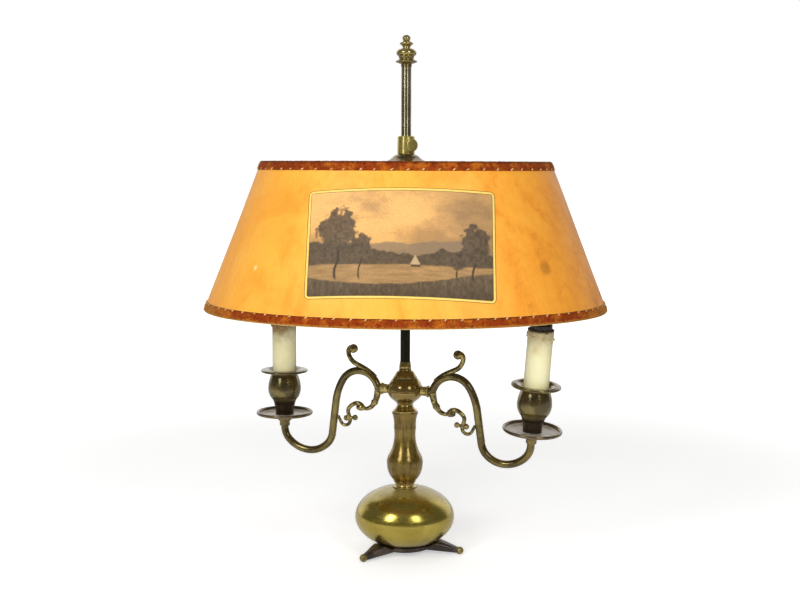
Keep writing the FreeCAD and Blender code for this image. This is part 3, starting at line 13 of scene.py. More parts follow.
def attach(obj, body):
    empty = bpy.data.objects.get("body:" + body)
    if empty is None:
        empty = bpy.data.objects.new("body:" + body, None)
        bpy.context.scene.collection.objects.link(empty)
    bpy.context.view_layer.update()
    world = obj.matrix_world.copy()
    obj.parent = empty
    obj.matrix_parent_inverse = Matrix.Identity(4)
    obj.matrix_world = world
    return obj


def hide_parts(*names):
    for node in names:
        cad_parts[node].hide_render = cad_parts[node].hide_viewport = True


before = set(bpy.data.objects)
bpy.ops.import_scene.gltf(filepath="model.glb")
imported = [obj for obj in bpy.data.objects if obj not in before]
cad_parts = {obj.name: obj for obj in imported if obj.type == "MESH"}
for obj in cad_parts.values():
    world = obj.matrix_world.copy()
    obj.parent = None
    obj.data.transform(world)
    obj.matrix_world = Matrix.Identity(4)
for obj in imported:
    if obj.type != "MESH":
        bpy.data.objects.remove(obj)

logging.basicConfig(level=logging.INFO, format="%(message)s")
log = logging.getLogger("lamp")

MM = 0.001
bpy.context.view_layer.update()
Colour = tuple[float, float, float]
Stations = tuple[tuple[float, ...], ...]


# Tools of the bench: outlines, turned forms and bent bars

def draw_outline(bm: bmesh.types.BMesh, stations: Stations, fine: float = 0.5) -> None:
    """Draws a chain of edges in the XZ plane, from one vertex.

    Args:
        bm: The mesh to draw in.
        stations: (radius, height[, roundness]) in millimetres. The roundness, rise over chord,
            belongs to the stretch that starts there and is positive where it turns left.
        fine: Longest edge of an arc in millimetres.
    """
    tip = bmesh.ops.create_vert(bm, co=(stations[0][0] * MM, 0, stations[0][1] * MM))["vert"][0]
    for start, end in zip(stations, stations[1:]):
        way = Vector((end[0] - start[0], 0, end[1] - start[1])) * MM
        roundness = start[2] if len(start) > 2 else 0
        if not roundness:
            tip = bmesh.ops.extrude_vert_indiv(bm, verts=[tip])["verts"][0]
            bmesh.ops.translate(bm, verts=[tip], vec=way)
            continue
        share = abs(roundness)
        radius = way.length * (1 + 4 * share * share) / (8 * share)
        turn = 4 * math.atan(2 * share)
        left = Vector((-way.z, 0, way.x)).normalized() * math.copysign(1, roundness)
        centre = Vector((start[0], 0, start[1])) * MM + way / 2 + left * radius * math.cos(turn / 2)
        steps = max(2, math.ceil(radius * turn / (fine * MM)))
        spun = bmesh.ops.spin(bm, geom=[tip], cent=centre, axis=(0, -math.copysign(1, roundness), 0),
                              angle=turn, steps=steps, use_duplicate=False)
        tip = [v for v in spun["geom_last"] if isinstance(v, bmesh.types.BMVert)][0]


def clean(bm: bmesh.types.BMesh) -> bmesh.types.BMesh:
    """Merges doubles, then turns all faces outwards."""
    bmesh.ops.remove_doubles(bm, verts=bm.verts, dist=1e-6)
    bmesh.ops.recalc_face_normals(bm, faces=bm.faces)
    return bm


def turned(stations: Stations, place: Matrix | None = None, sides: int = 96, fine: float = 0.5,
           closed: bool = True) -> bmesh.types.BMesh:
    """Turns an outline about the upright axis, as on a lathe.

    Args:
        stations: The outline, as draw_outline takes it.
        place: Where the turned form goes.
        sides: Steps of the full turn.
        fine: Longest edge of an arc in millimetres.
        closed: Whether the outline returns to its first station.

    Returns:
        The mesh of the turned form.
    """
    bm = bmesh.new()
    draw_outline(bm, stations + (stations[:1] if closed else ()), fine)
    bmesh.ops.remove_doubles(bm, verts=bm.verts, dist=1e-6)
    bmesh.ops.spin(bm, geom=bm.verts[:] + bm.edges[:], cent=(0, 0, 0), axis=(0, 0, 1),
                   angle=2 * math.pi, steps=sides, use_merge=True, use_duplicate=False)
    clean(bm)
    if place is not None:
        bmesh.ops.transform(bm, matrix=place, verts=bm.verts)
    return bm


@dataclass(frozen=True)
class Bend:
    """A bend of a bar: its radius in millimetres, and its turn in degrees, up is positive."""
    radius: float
    degrees: float


@dataclass(frozen=True)
class Run:
    """A straight run of a bar, in millimetres."""
    length: float


def swept(bm: bmesh.types.BMesh, start: tuple[float, float], heading: float, route: tuple[Bend | Run, ...],
          radii: tuple[float, float], sides: int = 24, capped: bool = True, fine: float = 1.2) -> None:
    """Adds a round bar in the XZ plane that follows bends and runs, thinner or thicker to its end.

    Args:
        bm: The mesh to add to.
        start: First point of the centre line in millimetres.
        heading: Direction of the first stretch in degrees, up from +X.
        route: The bends and runs in order.
        radii: First and last radius in millimetres.
        sides: Sides of the bar.
        capped: Whether the ends are closed.
        fine: Longest step along the bar in millimetres.
    """
    centre, angle = Vector((start[0], 0, start[1])) * MM, math.radians(heading)
    ring = bmesh.ops.create_circle(bm, cap_ends=False, segments=sides, radius=radii[0] * MM,
                                   matrix=Matrix.Translation(centre) @ Matrix.Rotation(math.pi / 2 - angle, 4, "Y"))
    verts = ring["verts"]
    ends = [verts]
    geometry = verts + list({e for v in verts for e in v.link_edges})
    lengths = [s.length if isinstance(s, Run) else s.radius * math.radians(abs(s.degrees)) for s in route]
    total, done, size = sum(lengths), 0.0, radii[0]
    for stretch, length in zip(route, lengths):
        steps = max(1, math.ceil(length / fine))
        for _ in range(steps):
            part = length / steps
            if isinstance(stretch, Run):
                grown = bmesh.ops.extrude_edge_only(bm, edges=[g for g in geometry
                                                               if isinstance(g, bmesh.types.BMEdge)])["geom"]
                geometry = [g for g in grown if not isinstance(g, bmesh.types.BMFace)]
                verts = [g for g in geometry if isinstance(g, bmesh.types.BMVert)]
                kept = set(verts)
                geometry = verts + [g for g in geometry if isinstance(g, bmesh.types.BMEdge)
                                    and all(v in kept for v in g.verts)]
                move = Vector((math.cos(angle), 0, math.sin(angle))) * part * MM
                bmesh.ops.translate(bm, verts=verts, vec=move)
                centre = centre + move
            else:
                sign = math.copysign(1, stretch.degrees)
                turn = math.radians(abs(stretch.degrees)) / steps
                pivot = centre + Vector((-math.sin(angle), 0, math.cos(angle))) * sign * stretch.radius * MM
                spun = bmesh.ops.spin(bm, geom=geometry, cent=pivot, axis=(0, -sign, 0), angle=turn,
                                      steps=1, use_duplicate=False)["geom_last"]
                geometry = [g for g in spun if not isinstance(g, bmesh.types.BMFace)]
                verts = [g for g in geometry if isinstance(g, bmesh.types.BMVert)]
                centre = pivot + Matrix.Rotation(-sign * turn, 3, "Y") @ (centre - pivot)
                angle += sign * turn
            done += part
            wanted = radii[0] + (radii[1] - radii[0]) * done / total
            factor, size = wanted / size, wanted
            bmesh.ops.scale(bm, vec=(factor,) * 3, space=Matrix.Translation(-centre), verts=verts)
    ends.append(verts)
    if capped:
        for end in ends:
            bmesh.ops.contextual_create(bm, geom=end)


def bends_through(points: tuple[tuple[float, float], ...], heading: float) -> tuple[Bend | Run, ...]:
    """Smooth bends through points, each leaving in the direction that the last one had.

    Args:
        points: (x, z) points in millimetres.
        heading: Direction at the first point in degrees.

    Returns:
        One bend for each pair of points, or a run where they lie straight ahead.
    """
    route: list[Bend | Run] = []
    for (x_one, z_one), (x_two, z_two) in zip(points, points[1:]):
        chord = math.hypot(x_two - x_one, z_two - z_one)
        half = math.degrees(math.atan2(z_two - z_one, x_two - x_one)) - heading
        half = (half + 180) % 360 - 180
        if abs(half) < 0.05:
            route.append(Run(chord))
            continue
        route.append(Bend(chord / 2 / math.sin(math.radians(abs(half))), 2 * half))
        heading += 2 * half
    return tuple(route)


def ball(bm: bmesh.types.BMesh, place: tuple[float, float, float], size: tuple[float, float, float],
         sides: int = 32) -> None:
    """Adds a ball or an egg, with its centre and half sizes in millimetres."""
    matrix = Matrix.Translation(Vector(place) * MM) @ Matrix.Diagonal((*(Vector(size) * MM), 1))
    bmesh.ops.create_uvsphere(bm, u_segments=sides, v_segments=sides // 2, radius=1, matrix=matrix)


# Finishes

class Slot(Enum):
    """Material slots of the record."""
    POLISHED = "polished_brass"
    AGED = "aged_brass"
    LIGHT = "light_brass"
    BRONZE = "dark_bronze"
    PARCHMENT = "parchment"
    VELVET = "velvet"
    SLEEVE = "sleeve"
    BAKELITE = "bakelite"


class Bench:
    """Lays out the nodes of one finish."""

    def __init__(self, name: str) -> None:
        """Starts a material with its main shader."""
        self.material = bpy.data.materials.new(name)
        self.material.use_nodes = True
        self.tree = self.material.node_tree
        self.shader = self.tree.nodes["Principled BSDF"]
        self.place = self.add("TexCoord").outputs["Object"]

    def add(self, kind: str, **settings: object) -> bpy.types.Node:
        """Adds a node and gives it its settings."""
        node = self.tree.nodes.new("ShaderNode" + kind)
        for name, value in settings.items():
            setattr(node, name, value)
        return node

    def join(self, source: object, socket: bpy.types.NodeSocket) -> None:
        """Links a socket, or sets the value if the source is a number or a colour."""
        if isinstance(source, bpy.types.NodeSocket):
            self.tree.links.new(source, socket)
        elif isinstance(source, tuple) and len(source) == 3 and socket.type == "RGBA":
            socket.default_value = (*source, 1)
        else:
            socket.default_value = source

    def stretch(self, factors: Colour, source: object = None, shift: Colour = (0, 0, 0)) -> bpy.types.NodeSocket:
        """Scales and shifts a position, to stretch the pattern that reads it."""
        node = self.add("Mapping")
        self.join(source or self.place, node.inputs["Vector"])
        node.inputs["Scale"].default_value = factors
        node.inputs["Location"].default_value = shift
        return node.outputs["Vector"]

    def noise(self, scale: float, detail: float = 3, rough: float = 0.55, source: object = None,
              twist: float = 0) -> bpy.types.NodeSocket:
        """A cloudy pattern, with its scale in patches per metre."""
        node = self.add("TexNoise")
        self.join(source or self.place, node.inputs["Vector"])
        for name, value in (("Scale", scale), ("Detail", detail), ("Roughness", rough), ("Distortion", twist)):
            node.inputs[name].default_value = value
        return node.outputs["Fac"]

    def span(self, source: object, low: float, high: float, to: tuple[float, float] = (0, 1),
             soft: bool = True) -> bpy.types.NodeSocket:
        """Maps low..high of a value to another span, and holds it there."""
        node = self.add("MapRange", interpolation_type="SMOOTHSTEP" if soft else "LINEAR")
        self.join(source, node.inputs["Value"])
        for name, value in (("From Min", low), ("From Max", high), ("To Min", to[0]), ("To Max", to[1])):
            node.inputs[name].default_value = value
        return node.outputs["Result"]

    def maths(self, kind: str, one: object, two: object = 0.0, clamp: bool = False) -> bpy.types.NodeSocket:
        """One sum of two values."""
        node = self.add("Math", operation=kind, use_clamp=clamp)
        self.join(one, node.inputs[0])
        self.join(two, node.inputs[1])
        return node.outputs[0]

    def blend(self, share: object, one: object, two: object, kind: str = "MIX") -> bpy.types.NodeSocket:
        """Blends two colours."""
        node = self.add("Mix", data_type="RGBA", blend_type=kind)
        self.join(share, node.inputs["Factor"])
        self.join(one, node.inputs[6])
        self.join(two, node.inputs[7])
        return node.outputs[2]

    def axis(self, letter: str, source: object = None) -> bpy.types.NodeSocket:
        """One coordinate of a position."""
        node = self.add("SeparateXYZ")
        self.join(source or self.place, node.inputs[0])
        return node.outputs[letter]

    def near(self, point: Colour, radius: float) -> bpy.types.NodeSocket:
        """1 at a point on the piece and 0 beyond a radius, both in millimetres."""
        away = self.add("VectorMath", operation="DISTANCE")
        self.join(self.place, away.inputs[0])
        away.inputs[1].default_value = Vector(point) * MM
        return self.span(away.outputs["Value"], radius * MM * 0.35, radius * MM, (1, 0))

    def relief(self, height: object, depth: float, strength: float = 1, under: object = None) -> bpy.types.NodeSocket:
        """A bump of the surface, its depth in millimetres."""
        node = self.add("Bump")
        self.join(height, node.inputs["Height"])
        node.inputs["Distance"].default_value = depth * MM
        node.inputs["Strength"].default_value = strength
        if under is not None:
            self.join(under, node.inputs["Normal"])
        return node.outputs["Normal"]

    def dress(self, **sockets: object) -> bpy.types.Material:
        """Joins the main shader's sockets, named with spaces as underscores, and gives the material."""
        for name, value in sockets.items():
            self.join(value, self.shader.inputs[name.replace("_", " ")])
        return self.material


@dataclass(frozen=True)
class MetalFinish:
    """A lacquered, worn or dull metal.

    Attributes:
        name: The material's name.
        bright: Colour where it is rubbed bright.
        dull: Colour where it has dulled.
        grime: Colour of its stains.
        sheen: Roughness from the smoothest to the roughest place.
        cloud: Patches of dulling per metre.
        grime_share: How strong the stains are.
        turning: Depth of the marks of the lathe in millimetres.
        dents: Depth of its dents in centimetres.
        metallic: How metallic it is.
        dust_and_reflection: Colour of a veil that is partly dust and partly a painted reflection of the pale room.
        dust_and_reflection_span: Heights over which that veil begins, moved down to the back, in millimetres.
        dust_and_reflection_share: How thick that veil is.
        dark_below: Heights over which a painted shade ends towards the top, in millimetres.
        painted_shade_colour: Colour of that painted shade.
        wiped: How strong its upright wiped streaks are.
        settled_dust_and_reflection: How thick the veil lies on faces that look up, as dust and as a painted reflection
            of the bright room above.
        lacquer: How strong its clear coat is.
        brushed: How far highlights are drawn out along the upright axis.
    """
    name: str
    bright: Colour
    dull: Colour
    grime: Colour
    sheen: tuple[float, float] = (0.2, 0.36)
    cloud: float = 32
    grime_share: float = 0.6
    turning: float = 0.012
    dents: float = 0.03
    metallic: float = 0.88
    dust_and_reflection: Colour = (0.30, 0.27, 0.20)
    dust_and_reflection_span: tuple[float, float] | None = None
    dust_and_reflection_share: float = 0.5
    dark_below: tuple[float, float] | None = None
    painted_shade_colour: Colour = (0.05, 0.038, 0.02)
    wiped: float = 0.0
    settled_dust_and_reflection: float = 0.0
    lacquer: float = 0.5
    brushed: float = 0.0

    def make(self) -> bpy.types.Material:
        """Makes the material."""
        b = Bench(self.name)
        cloud = b.noise(self.cloud, 6, 0.6, twist=0.4)
        specks = b.noise(620, 3, 0.7)
        streaks = b.noise(60, 3, 0.6, b.stretch((1, 1, 14)))
        colour = b.blend(b.span(cloud, 0.38, 0.62), self.bright, self.dull)
        stain = b.maths("MULTIPLY", b.span(specks, 0.53, 0.70), b.span(b.noise(self.cloud * 2.3, 4), 0.42, 0.66))
        colour = b.blend(b.maths("MULTIPLY", stain, self.grime_share), colour, self.grime)
        rough = b.maths("ADD", b.span(cloud, 0.3, 0.7, self.sheen, False), b.span(streaks, 0.45, 0.75, (0, 0.06)))
        metallic: object = self.metallic
        if self.wiped:
            wipes = b.noise(380, 4, 0.7, b.stretch((1, 1, 0.14)), 0.6)
            colour = b.blend(b.span(wipes, 0.47, 0.66, (0, self.wiped)), colour, self.grime)
        # The veil greys and dulls a piece: it is partly dust and partly a painted reflection of the pale room.
        veil = None
        if self.dust_and_reflection_span:
            back = b.maths("ADD", b.axis("Z"), b.maths("MULTIPLY", b.axis("Y"), 0.6))
            veil = b.maths("MULTIPLY", b.span(back, self.dust_and_reflection_span[0] * MM, self.dust_and_reflection_span[1] * MM),
                           b.span(b.noise(90, 4), 0.2, 0.75, (self.dust_and_reflection_share * 0.55, self.dust_and_reflection_share)))
        if self.settled_dust_and_reflection:
            upward = b.span(b.axis("Z", b.add("NewGeometry").outputs["Normal"]), 0.75, 0.98)
            veil = b.maths("MULTIPLY", upward, b.span(b.noise(120, 4), 0.3, 0.7, (self.settled_dust_and_reflection * 0.6, self.settled_dust_and_reflection)))
        if veil is not None:
            colour = b.blend(veil, colour, self.dust_and_reflection)
            rough = b.maths("ADD", rough, b.maths("MULTIPLY", veil, 0.25))
            metallic = b.maths("SUBTRACT", self.metallic, b.maths("MULTIPLY", veil, 0.9))
        # Painted shade: the piece darkens towards its bottom, below the heights in dark_below.
        if self.dark_below:
            below = b.span(b.axis("Z"), self.dark_below[0] * MM, self.dark_below[1] * MM, (0.97, 0))
            colour = b.blend(below, colour, self.painted_shade_colour)
        normal = b.relief(b.noise(45, 2), self.dents * 10, 0.6)
        if self.turning:
            normal = b.relief(b.noise(30, 2, 0.6, b.stretch((1, 1, 60))), self.turning, 0.8, normal)
        normal = b.relief(specks, 0.012, 0.7, normal)
        if self.brushed:
            around = b.add("VectorMath", operation="CROSS_PRODUCT")
            b.join(b.add("NewGeometry").outputs["Normal"], around.inputs[0])
            around.inputs[1].default_value = (0, 0, 1)
            b.dress(Tangent=around.outputs[0], Anisotropic=self.brushed, Anisotropic_Rotation=0.25)
        return b.dress(Base_Color=colour, Roughness=rough, Metallic=metallic, Normal=normal,
                       Coat_Weight=self.lacquer, Coat_Roughness=0.14)


@dataclass(frozen=True)
class PlasticFinish:
    """A moulded, painted or wax-like surface."""
    name: str
    light: Colour
    dark: Colour
    gloss: tuple[float, float] = (0.3, 0.5)
    cloud: float = 60
    grain: float = 900
    depth: float = 0.02
    rise: tuple[float, float] | None = None
    painted_shade_tone: Colour = (0.3, 0.2, 0.1)

    def make(self) -> bpy.types.Material:
        """Makes the material."""
        b = Bench(self.name)
        cloud = b.noise(self.cloud, 5, 0.6)
        colour = b.blend(b.span(cloud, 0.36, 0.66), self.light, self.dark)
        # Painted shade: over the heights in rise the colour darkens towards the top.
        if self.rise:
            share = b.maths("ADD", b.axis("Z"), b.span(cloud, 0.3, 0.7, (-0.006, 0.006), False))
            colour = b.blend(b.span(share, self.rise[0] * MM, self.rise[1] * MM), colour, self.painted_shade_tone)
        grain = b.noise(self.grain, 3, 0.6)
        colour = b.blend(b.span(grain, 0.5, 0.72, (0, 0.35)), colour, self.dark)
        return b.dress(Base_Color=colour, Roughness=b.span(cloud, 0.3, 0.7, self.gloss),
                       Normal=b.relief(grain, self.depth, 0.8, b.relief(cloud, self.depth * 8, 0.5)))


@dataclass(frozen=True)
class ParchmentFinish:
    """Varnished parchment, deeper in colour to one end, with its old spots."""
    name: str = "parchment"
    light: Colour = (0.94, 0.45, 0.055)
    warm: Colour = (0.91, 0.36, 0.034)
    deep: Colour = (0.64, 0.19, 0.012)
    spots: tuple[tuple[Colour, float, float, Colour], ...] = (
        ((128.1, -105.4, 299), 9, 0.42, (0.22, 0.075, 0.012)), ((-139.6, -95.8, 297.6), 3.2, 0.7, (0.98, 0.74, 0.34)),
        ((-60, 139, 330), 5, 0.4, (0.2, 0.07, 0.01)))

    def make(self) -> bpy.types.Material:
        """Makes the material."""
        b = Bench(self.name)
        hide = b.noise(11, 6, 0.62, twist=0.8)
        grain = b.noise(24, 5, 0.7, b.stretch((1, 1, 0.35)))
        veins = b.noise(120, 5, 0.75, b.stretch((1, 1, 0.7)), 1.4)
        runs = b.noise(17, 5, 0.68, b.stretch((1, 1, 0.3), shift=(3.1, 0.4, 0)), 1.1)
        end = b.span(b.axis("X"), -0.02, 0.19)
        amount = b.maths("ADD", b.maths("MULTIPLY", end, 0.62), b.span(hide, 0.36, 0.7, (-0.08, 0.5)))
        colour = b.blend(b.span(amount, 0.0, 0.62), self.light, self.warm)
        colour = b.blend(b.span(runs, 0.48, 0.64, (0, 0.55)), colour, (0.88, 0.31, 0.02))
        mottled = b.maths("MULTIPLY", b.span(grain, 0.44, 0.66), b.span(amount, 0.35, 1.0, (0.06, 0.85)))
        colour = b.blend(mottled, colour, self.deep)
        veined = b.maths("MULTIPLY", b.span(veins, 0.47, 0.62, (0, 0.75)), b.span(amount, 0.3, 0.95, (0.10, 1)))
        colour = b.blend(veined, colour, self.deep)
        fibres = b.noise(260, 4, 0.7, b.stretch((1, 1, 0.25)))
        colour = b.blend(b.span(fibres, 0.52, 0.72, (0, 0.2)), colour, self.deep)
        for point, radius, share, tone in self.spots:
            colour = b.blend(b.maths("MULTIPLY", b.near(point, radius), share), colour, tone)
        rough = b.span(hide, 0.3, 0.7, (0.42, 0.56))
        normal = b.relief(fibres, 0.05, 0.5, b.relief(hide, 0.5, 0.35))
        return b.dress(Base_Color=colour, Roughness=rough, Normal=normal, Specular_IOR_Level=0.35)


@dataclass(frozen=True)
class VelvetFinish:
    """Cut pile with painted shade in its folds, worn golden along its lower edge, and with a painted golden sheen at
    the shade's two ends.
    """
    name: str = "velvet"
    pile: Colour = (0.30, 0.042, 0.004)
    worn: Colour = (0.60, 0.165, 0.012)
    # Golden wear along the lower edge, and a painted sheen at the shade's ends.
    worn_gold_and_sheen: Colour = (0.56, 0.27, 0.045)
    # Dark of the deep pile, and painted shade in the folds.
    dark_pile_and_fold_shade: Colour = (0.05, 0.010, 0.003)

    def make(self) -> bpy.types.Material:
        """Makes the material."""
        b = Bench(self.name)
        pile, tufts, patches = b.noise(1500, 2, 0.7), b.noise(420, 3, 0.7), b.noise(60, 4, 0.6)
        height = b.maths("ADD", b.axis("Z"), b.span(tufts, 0.3, 0.7, (-0.0007, 0.0007), False))
        colour = b.blend(b.span(patches, 0.44, 0.66, (0, 0.85)), self.pile, self.worn)
        colour = b.blend(b.span(tufts, 0.46, 0.66, (0, 0.65)), colour, self.dark_pile_and_fold_shade)
        lower_band = b.span(height, 0.26, 0.27, (1, 0))
        # Painted shade: a dark line where the lower band folds over.
        lower_fold_shade = b.maths("MULTIPLY", b.span(height, 0.2565, 0.2578, (0, 0.6)), lower_band)
        colour = b.blend(lower_fold_shade, colour, self.dark_pile_and_fold_shade)
        # Painted shade: a dark line where the top band folds over.
        colour = b.blend(b.span(height, 0.3935, 0.3956, (0, 0.7)), colour, self.dark_pile_and_fold_shade)
        colour = b.blend(b.span(height, 0.2500, 0.2516, (0.75, 0)), colour, self.worn_gold_and_sheen)
        # Painted sheen: gold at the two ends of the oval, where the band turns to the sides.
        ends = b.span(b.maths("ABSOLUTE", b.axis("X")), 0.16, 0.202, (0, 0.6))
        colour = b.blend(b.maths("MULTIPLY", ends, lower_band), colour, self.worn_gold_and_sheen)
        colour = b.blend(b.span(pile, 0.4, 0.7, (0, 0.4)), colour, self.dark_pile_and_fold_shade)
        return b.dress(Base_Color=colour, Roughness=0.95, Normal=b.relief(pile, 0.35, 0.8), Sheen_Weight=0.12,
                       Sheen_Roughness=0.5, Sheen_Tint=(0.9, 0.45, 0.12, 1.0), Specular_IOR_Level=0.15)


@dataclass(frozen=True)
class PictureFinish:
    """A printed landscape with its gilt border, painted on the patch's own colours and map."""
    name: str = "picture"
    size: tuple[float, float] = (174, 104)
    corner: float = 5.0

    def make(self) -> bpy.types.Material:
        """Makes the material."""
        b = Bench(self.name)
        shifted = b.add("VectorMath", operation="MULTIPLY_ADD")
        b.join(b.add("UVMap", uv_map="flat").outputs[0], shifted.inputs[0])
        shifted.inputs[1].default_value = (*self.size, 0)
        shifted.inputs[2].default_value = (-self.size[0] / 2, -self.size[1] / 2, 0)
        away = shifted.outputs[0]
        for kind, value in (("ABSOLUTE", None), ("SUBTRACT", (self.size[0] / 2 - self.corner,
                                                              self.size[1] / 2 - self.corner, 1)),
                            ("MAXIMUM", (0, 0, 0)), ("LENGTH", None)):
            node = b.add("VectorMath", operation=kind)
            b.join(away, node.inputs[0])
            if value:
                node.inputs[1].default_value = value
            away = node.outputs["Value" if kind == "LENGTH" else 0]
        inward = b.maths("SUBTRACT", self.corner, away)
        print_colour = b.add("VertexColor", layer_name="print").outputs["Color"]
        grain = b.noise(1900, 3, 0.75)
        colour = b.blend(b.span(grain, 0.42, 0.66, (0, 0.5)), print_colour, (0.085, 0.055, 0.032))
        wear = b.noise(900, 4, 0.7)
        gilt = b.blend(b.span(wear, 0.5, 0.66, (0, 0.75)), (0.98, 0.66, 0.16), (0.72, 0.40, 0.06))
        line = b.blend(b.span(wear, 0.45, 0.62, (0, 0.6)), (0.16, 0.10, 0.02), (0.45, 0.25, 0.05))
        colour = b.blend(b.span(inward, 2.85, 3.1), line, colour)
        colour = b.blend(b.span(inward, 2.35, 2.6), gilt, colour)
        colour = b.blend(b.span(inward, 0.55, 0.8), line, colour)
        colour = b.blend(b.span(inward, 0.1, 0.25), (0.9, 0.42, 0.07), colour)
        return b.dress(Base_Color=colour, Roughness=b.span(wear, 0.3, 0.7, (0.45, 0.56)),
                       Normal=b.relief(grain, 0.03, 0.5), Specular_IOR_Level=0.25)


class Finishes:
    """All finishes of the lamp, each made once."""

    def __init__(self) -> None:
        """Makes the materials."""
        grime = (0.055, 0.034, 0.014)
        # The ball's upper veil is partly dust and partly a painted reflection of the pale room beyond the lamp shade.
        self.ball = MetalFinish("ball_brass", (0.62, 0.48, 0.09), (0.49, 0.375, 0.058), grime, sheen=(0.17, 0.27),
                                cloud=40, grime_share=0.6, turning=0.01, dents=0.006, metallic=0.95,
                                dust_and_reflection=(0.25, 0.21, 0.15), dust_and_reflection_span=(38, 52), dust_and_reflection_share=0.46).make()
        self.collar = MetalFinish("collar_brass", (0.66, 0.54, 0.19), (0.5, 0.37, 0.11), grime,
                                  sheen=(0.22, 0.34)).make()
        self.column = MetalFinish("column_brass", (0.44, 0.30, 0.06), (0.25, 0.165, 0.032), grime, sheen=(0.26, 0.38),
                                  cloud=26, grime_share=0.7, wiped=0.6, lacquer=0.5, brushed=0.6).make()
        self.turnery = MetalFinish("turned_brass", (0.56, 0.45, 0.17), (0.26, 0.20, 0.065), grime, sheen=(0.18, 0.26),
                                   cloud=60, turning=0, dents=0.01, brushed=0.3).make()
        self.hub = MetalFinish("hub_brass", (0.46, 0.34, 0.08), (0.28, 0.185, 0.04), grime, sheen=(0.13, 0.21),
                               cloud=30, grime_share=0.5, turning=0, dents=0.008, brushed=0.2, lacquer=1).make()
        self.arm = MetalFinish("arm_brass", (0.27, 0.205, 0.06), (0.12, 0.088, 0.027), grime, sheen=(0.16, 0.28),
                               cloud=45, grime_share=0.8, dents=0.02).make()
        self.scroll = MetalFinish("scroll_brass", (0.50, 0.39, 0.12), (0.10, 0.075, 0.024), grime, sheen=(0.16, 0.3),
                                  cloud=190, grime_share=0.8, dents=0.02).make()
        self.light = MetalFinish("light_brass", (0.84, 0.72, 0.23), (0.60, 0.49, 0.13), grime, sheen=(0.24, 0.32),
                                 cloud=90, grime_share=0.6, turning=0, metallic=0.82, brushed=0.9).make()
        # Painted shade: the rod turns nearly black below the collar, where the lamp shade hangs over it.
        self.rod = MetalFinish("rod_brass", (0.52, 0.47, 0.31), (0.36, 0.32, 0.19), grime, sheen=(0.26, 0.32),
                               cloud=30, grime_share=0.4, turning=0, dents=0, metallic=1, dark_below=(380, 392),
                               painted_shade_colour=(0.012, 0.010, 0.006), lacquer=0.2, brushed=1).make()
        # Painted shade: the cup goes dark on its foot, below the belly.
        self.cup = MetalFinish("cup_bronze", (0.26, 0.20, 0.062), (0.12, 0.088, 0.03), grime, sheen=(0.18, 0.28),
                               cloud=60, grime_share=0.7, dents=0.012, dark_below=(145, 149),
                               painted_shade_colour=(0.045, 0.026, 0.014), lacquer=0.7, brushed=0.7).make()
        self.dome = MetalFinish("dome_bronze", (0.32, 0.24, 0.11), (0.15, 0.11, 0.055), grime, sheen=(0.2, 0.36),
                                cloud=60).make()
        # The pan's upward faces get a pale veil, partly dust and partly a painted reflection of the bright room above.
        self.pan = MetalFinish("pan_brass", (0.30, 0.225, 0.11), (0.15, 0.11, 0.06), grime, sheen=(0.22, 0.36),
                               cloud=55, grime_share=0.8, turning=0.01, dents=0.02, dust_and_reflection=(0.62, 0.56, 0.47),
                               settled_dust_and_reflection=0.95).make()
        self.leg = MetalFinish("leg_bronze", (0.13, 0.095, 0.08), (0.065, 0.05, 0.046), (0.02, 0.016, 0.013),
                               sheen=(0.34, 0.52), cloud=70, turning=0, dents=0.05).make()
        self.toe = MetalFinish("toe_brass", (0.46, 0.37, 0.12), (0.24, 0.19, 0.06), grime, sheen=(0.22, 0.36),
                               cloud=150).make()
        self.iron = MetalFinish("iron", (0.16, 0.15, 0.14), (0.09, 0.08, 0.075), (0.10, 0.045, 0.02),
                                sheen=(0.45, 0.65), cloud=60).make()
        self.steel = MetalFinish("steel", (0.56, 0.54, 0.50), (0.38, 0.36, 0.33), (0.12, 0.08, 0.05),
                                 sheen=(0.25, 0.42), cloud=70).make()
        self.parchment = ParchmentFinish().make()
        # Painted shade: the inside of the lamp shade is given a dark brown for its dim interior.
        self.painted_shade_lining = PlasticFinish("painted_shade_lining", (0.34, 0.20, 0.065), (0.26, 0.14, 0.04), gloss=(0.6, 0.75), cloud=20,
                                    grain=300).make()
        self.velvet = VelvetFinish().make()
        self.picture = PictureFinish().make()
        self.thread = PlasticFinish("thread", (0.86, 0.62, 0.30), (0.62, 0.36, 0.12), gloss=(0.7, 0.85),
                                    cloud=300).make()
        # Painted shade: each sleeve turns brown towards its top, under the lamp shade, deeper on the left.
        self.sleeves = {side: PlasticFinish(f"sleeve_{side}", (0.95, 0.91, 0.58), (0.91, 0.83, 0.46),
                                            gloss=(0.35, 0.5), cloud=45, grain=700, rise=rise, painted_shade_tone=tone).make()
                        for side, rise, tone in (("right", (208, 238), (0.46, 0.35, 0.17)),
                                                 ("left", (206, 228), (0.27, 0.155, 0.045)))}
        self.wax = PlasticFinish("sleeve_rim", (0.14, 0.09, 0.03), (0.05, 0.03, 0.012), gloss=(0.35, 0.5), cloud=160,
                                 grain=700).make()
        self.bakelite = PlasticFinish("bakelite", (0.020, 0.015, 0.007), (0.008, 0.006, 0.003), gloss=(0.2, 0.32),
                                      cloud=80).make()
        self.insulation = PlasticFinish("insulation", (0.10, 0.07, 0.05), (0.05, 0.035, 0.025),
                                        gloss=(0.5, 0.65)).make()
        self.block = PlasticFinish("white_block", (0.75, 0.74, 0.70), (0.62, 0.60, 0.55), gloss=(0.4, 0.55)).make()


# Sub-assemblies

